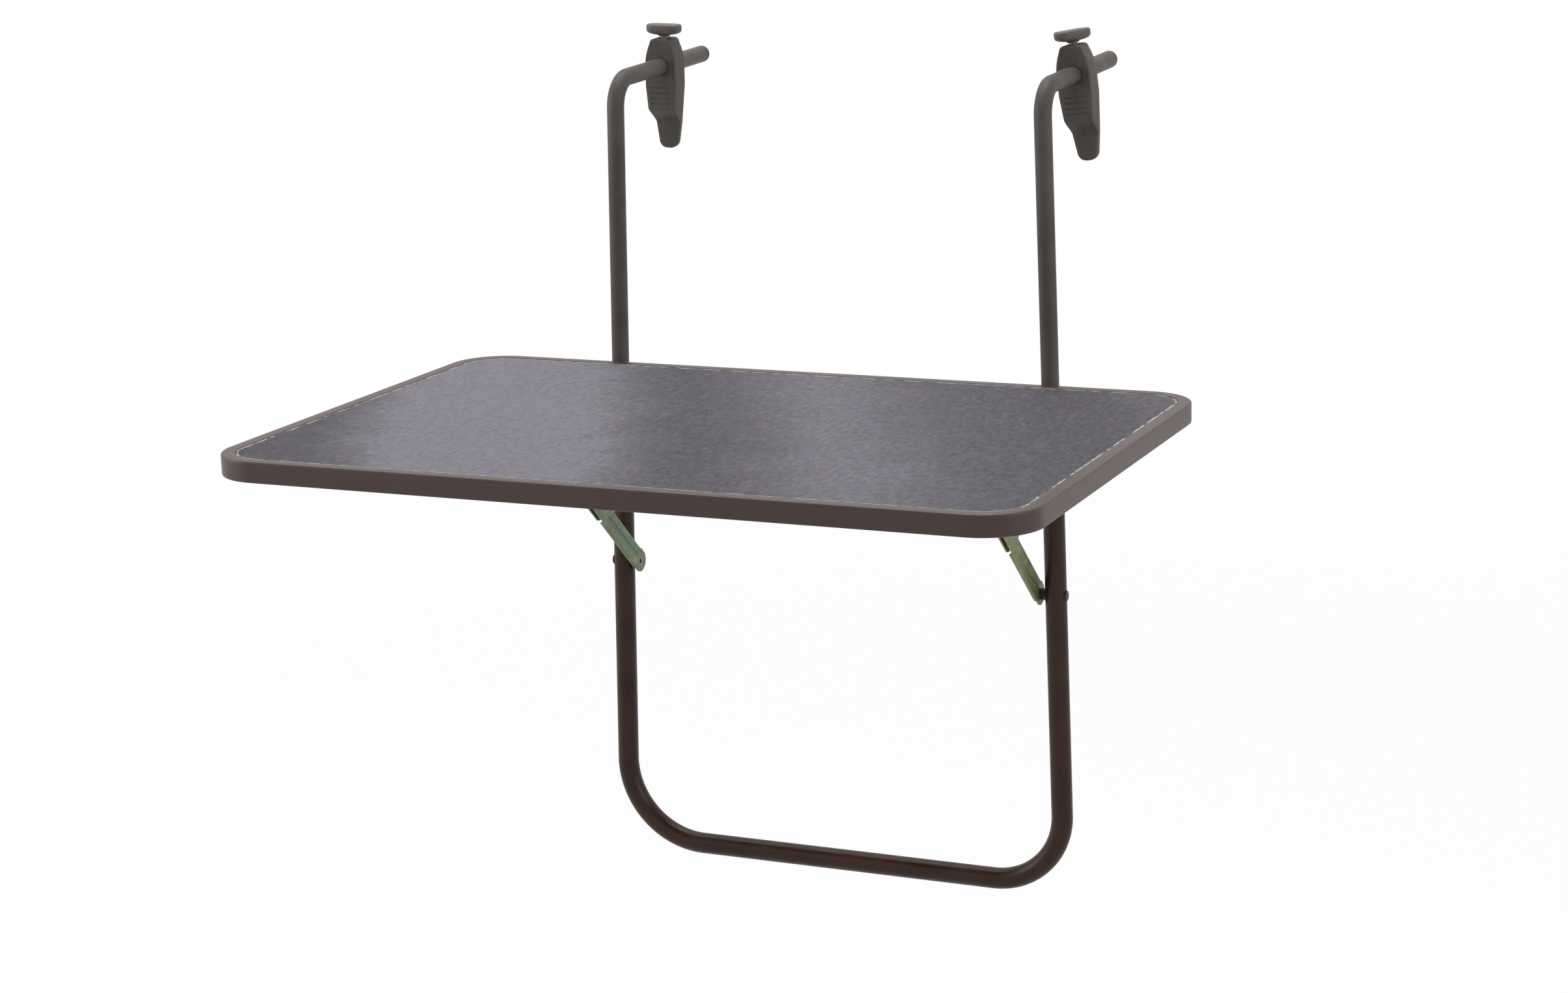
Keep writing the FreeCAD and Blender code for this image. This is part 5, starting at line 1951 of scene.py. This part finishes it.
    def bracket(self) -> None:
        """Foot under the board with a bent ear for the brace."""
        x0, x1, y, r = self.ear_x0, self.ear_x0 + self.ear, PLAN.table_pivot_y, self.ear_r
        half, foot_z, label = self.foot_depth / 2, PLAN.foot_z, self.side.label
        flat = rounded_box((x0 - self.foot_width, y - half), (x1, y + half), 4.0, 1.0)
        shape = plate(flat, foot_z, PLAN.board_under_z)
        outline = arc((y, PLAN.hinge_z), r, 180, 360, 16)
        outline = [(y - r, foot_z + 0.5)] + outline + [(y + r, foot_z + 0.5)]
        shape.with_shape(plate(outline, x0, x1).moved(UPRIGHT))
        f, x, z = self.fillet, x0 + self.overlap, foot_z + self.overlap
        fillet = [(0.0, 0.0), (0.0, -f)] + arc((-f, -f), f, 0, 90, 5) + [(-f, 0.0)]
        shape.with_shape(loft([[Vector((x + a, end, z + b)) for a, b in fillet] for end in (y - r, y + r)]))
        shape = shape.moved(self.side.mirror)
        made(f"brace_foot_{label}", shape, BRACE_ZINC, "table", [f"brace_bracket_{label}"])

    def screw_places(self) -> list[Point2]:
        """Places of the bracket's two screws."""
        x, y = self.ear_x0 - self.screw_inset, PLAN.table_pivot_y
        return [(x, y + self.screw_pitch * k) for k in (-0.5, 0.5)]


@dataclass
class TableHinge:
    """Bracket that carries the table on the hinge pins."""

    side: Side
    ear: float = 2.5
    ear_r: float = 9.0
    foot_width: float = 22.0
    foot_depth: float = 34.0
    screw_pitch: float = 19.0
    lip_gap: float = 0.5
    hole_r: float = 3.1

    @property
    def ear_x0(self) -> float:
        """Inner face of the ear."""
        return PLAN.boss_x - PLAN.play - self.ear

    @property
    def foot_y1(self) -> float:
        """Rear end of the foot."""
        return PLAN.back_y - PLAN.lip_width - self.lip_gap

    def build(self) -> None:
        """Makes the bracket."""
        x0, x1, z = self.ear_x0, self.ear_x0 + self.ear, PLAN.hinge_z
        y0, y1, foot_z = self.foot_y1 - self.foot_depth, self.foot_y1, PLAN.foot_z
        flat = rounded_box((x0 - self.foot_width, y0), (x1, y1), 5.0, 0.8)
        shape = plate(flat, foot_z, PLAN.board_under_z)
        gap_z = PLAN.under_z - self.lip_gap
        slant = math.degrees(math.atan2(z - self.ear_r - foot_z, -y0))
        outline = [(y0 + 1.0, foot_z + 0.5), (y0 + 0.4, foot_z - 1.0)]
        outline += arc((0.0, z), self.ear_r, slant - 84, 60, 18)
        outline += [(1.0, gap_z), (y1, gap_z), (y1, foot_z + 0.5)]
        shape.with_shape(plate(outline, x0, x1).moved(UPRIGHT))
        name = f"hinge_plate_{self.side.label}"
        thing = as_object(name, shape.mesh(name))
        carved(thing, turned([(0.0, self.hole_r), (20.0, self.hole_r)], 36).moved(across(x0 - 8, 0, z)))
        placed(thing, self.side.mirror)
        finished(thing, BRACE_ZINC, "table", [f"hinge_bracket_{self.side.label}"])

    def screw_places(self) -> list[Point2]:
        """Places of the bracket's two screws."""
        x, middle = self.ear_x0 - self.foot_width / 2, self.foot_y1 - self.foot_depth / 2
        return [(x, middle + self.screw_pitch * k) for k in (-0.5, 0.5)]


@dataclass
class WoodScrews:
    """Pan head screws with a cross recess that hold the brackets to the board."""

    name: str
    node: str
    places: list[Point2]
    head_r: float = 3.8
    head: float = 1.8
    shank_r: float = 2.0
    length: float = 9.0
    recess: Point2 = (2.1, 0.42)
    recess_deep: float = 1.1

    def build(self) -> None:
        """Makes a screw at each place of both sides."""
        pattern = self.screw()
        spots = [(side, x, y, k) for side in Side for k, (x, y) in enumerate(self.places, start=1)]
        for n, (side, x, y, k) in enumerate(spots):
            turn = Matrix.Rotation(math.radians(25 + 40 * n), 4, "Z")
            thing = as_object(f"{self.name}_{side.label}_{k}", pattern.data.copy())
            placed(thing, Matrix.Translation((side.value * x, y, PLAN.foot_z)) @ turn)
            finished(thing, BRIGHT_ZINC, "table", [self.node])
        discard(pattern)

    def screw(self) -> Object:
        """Makes one screw that points up, with its head below z = 0.

        Returns:
            The screw.
        """
        head = turned_over(domed_head(self.head_r, self.head, 0.5))
        shank = [(0.0, self.shank_r), (self.length - 1.5, self.shank_r * 0.9), (self.length, POINT)]
        thing = as_object("screw", turned(head + shank, 32).mesh("screw"))
        half, wide = self.recess
        ring = [Vector((a * half, b * wide, -self.head - 0.5)) for a, b in SQUARE]
        tip = [Vector((p.x * 0.45, p.y * 0.7, self.recess_deep - self.head)) for p in ring]
        for turn in (0, math.pi / 2):
            carved(thing, loft([ring, tip]).moved(Matrix.Rotation(turn, 4, "Z")))
        return thing


# Stage

@dataclass(frozen=True)
class Lamp:
    """Square soft lamp that looks at the table."""

    name: str
    place: Triple
    size: float
    power: float
    tone: Triple
    target: Triple = (0, -100, -300)

    def build(self) -> None:
        """Hangs the lamp up."""
        data = bpy.data.lights.new(self.name, "AREA")
        data.shape = "SQUARE"
        data.size = self.size * METRE
        data.energy = self.power
        data.color = self.tone
        lamp = as_object(self.name, data)
        lamp.location = Vector(self.place) * METRE
        lamp.rotation_euler = (Vector(self.target) - Vector(self.place)).to_track_quat("-Z", "Y").to_euler()


@dataclass
class Studio:
    """Pale floor, soft lights and the camera at the photograph's viewing angle."""

    floor_z: float = -1000.0
    floor_size: float = 12000.0
    floor_white: float = 0.93
    floor_fade: Point2 = (1.6, 4.2)
    sky: tuple[float, ...] = (0.95, 0.97, 1.0, 1.0)
    sky_power: float = 0.38
    lamps: tuple[Lamp, ...] = (
        Lamp("lamp_above", (-300, 300, 1900), 1800.0, 34.0, (1.0, 0.99, 0.97)),
        Lamp("lamp_left", (-2400, -1300, 500), 1500.0, 31.0, (1.0, 0.98, 0.95)),
        Lamp("lamp_right", (2500, -600, 500), 1300.0, 19.0, (0.93, 0.96, 1.0)),
    )
    eye: Triple = (929.45, -2216.13, 255.39)
    eye_turn_deg: Triple = (76.748, 1.536, 23.283)
    lens: float = 73.298
    sensor: float = 36.0
    sight: float = 100.0

    def build(self) -> None:
        """Sets up everything round the object."""
        bpy.context.scene.view_settings.view_transform = "Standard"
        self.floor()
        self.world()
        for lamp in self.lamps:
            lamp.build()
        self.camera()

    def floor(self) -> None:
        """Large floor that looks white and keeps a soft shadow."""
        r = Recipe("studio floor")
        r.surface((248, 248, 248), 0.9)
        white = r.spread(r.number("LENGTH", r.own), *self.floor_fade, self.floor_white, 1.0)
        share = r.maths("MULTIPLY", self.seen(r.tree), white)
        glow = r.add("Emission", (255, 255, 255), 1.0).outputs[0]
        r.feed(r.output.inputs[0], r.add("MixShader", share, r.shader.outputs[0], glow).outputs[0])
        half = self.floor_size / 2
        shape = Shape()
        shape.cap(shape.ring([Vector((a * half, b * half, self.floor_z)) for a, b in SQUARE]))
        thing = as_object("studio_floor", shape.mesh("studio_floor"))
        thing.data.materials.append(r.result)

    @staticmethod
    def seen(tree: bpy.types.NodeTree) -> NodeSocket:
        """Tells what the camera sees, itself or in a reflection, from other light.

        Args:
            tree: The node tree to work in.

        Returns:
            1 for what it sees and 0 for the rest.
        """
        path = tree.nodes.new("ShaderNodeLightPath")
        value = path.outputs["Is Camera Ray"]
        for kind in ("Is Glossy Ray", "Is Transmission Ray"):
            either = tree.nodes.new("ShaderNodeMath")
            either.operation = "MAXIMUM"
            tree.links.new(value, either.inputs[0])
            tree.links.new(path.outputs[kind], either.inputs[1])
            value = either.outputs[0]
        return value

    def world(self) -> None:
        """White to the eye, and a plain grey light on the object."""
        world = bpy.data.worlds.new("studio world")
        world.use_nodes = True
        bpy.context.scene.world = world
        tree = world.node_tree
        tree.nodes.clear()
        mix, out = tree.nodes.new("ShaderNodeMixShader"), tree.nodes.new("ShaderNodeOutputWorld")
        tree.links.new(self.seen(tree), mix.inputs[0])
        for k, tone, power in ((1, self.sky, self.sky_power), (2, (1.0, 1.0, 1.0, 1.0), 1.0)):
            light = tree.nodes.new("ShaderNodeBackground")
            light.inputs[0].default_value = tone
            light.inputs[1].default_value = power
            tree.links.new(light.outputs[0], mix.inputs[k])
        tree.links.new(mix.outputs[0], out.inputs[0])

    def camera(self) -> None:
        """Camera at the photograph's viewing angle."""
        data = bpy.data.cameras.new("eye")
        data.lens = self.lens
        data.sensor_width = self.sensor
        data.clip_end = self.sight
        eye = as_object("eye", data)
        eye.location = Vector(self.eye) * METRE
        eye.rotation_euler = [math.radians(a) for a in self.eye_turn_deg]
        bpy.context.scene.camera = eye


def main() -> None:
    """Builds every sub-assembly and the studio."""
    logging.basicConfig(level=logging.INFO, format="%(message)s")
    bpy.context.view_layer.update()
    hinges = [TableHinge(side) for side in Side]
    braces = [Brace(side) for side in Side]
    parts = [TableTop(), TubeFrame(), *map(LegParts, Side), *map(HookRod, Side)]
    parts.append(RailClamp(Side.RIGHT, rail_gap=64.5, lean_deg=6.0, knob_turn_deg=47.0))
    parts.append(RailClamp(Side.LEFT, rail_gap=74.0, lean_deg=1.5, knob_turn_deg=0.0))
    parts += hinges + braces
    parts.append(WoodScrews("hinge_screw", "hinge_bracket_screws", hinges[0].screw_places()))
    parts.append(WoodScrews("brace_screw", "brace_bracket_screws", braces[0].screw_places()))
    for part in [*parts, Studio()]:
        part.build()


if __name__ == "__main__":
    main()
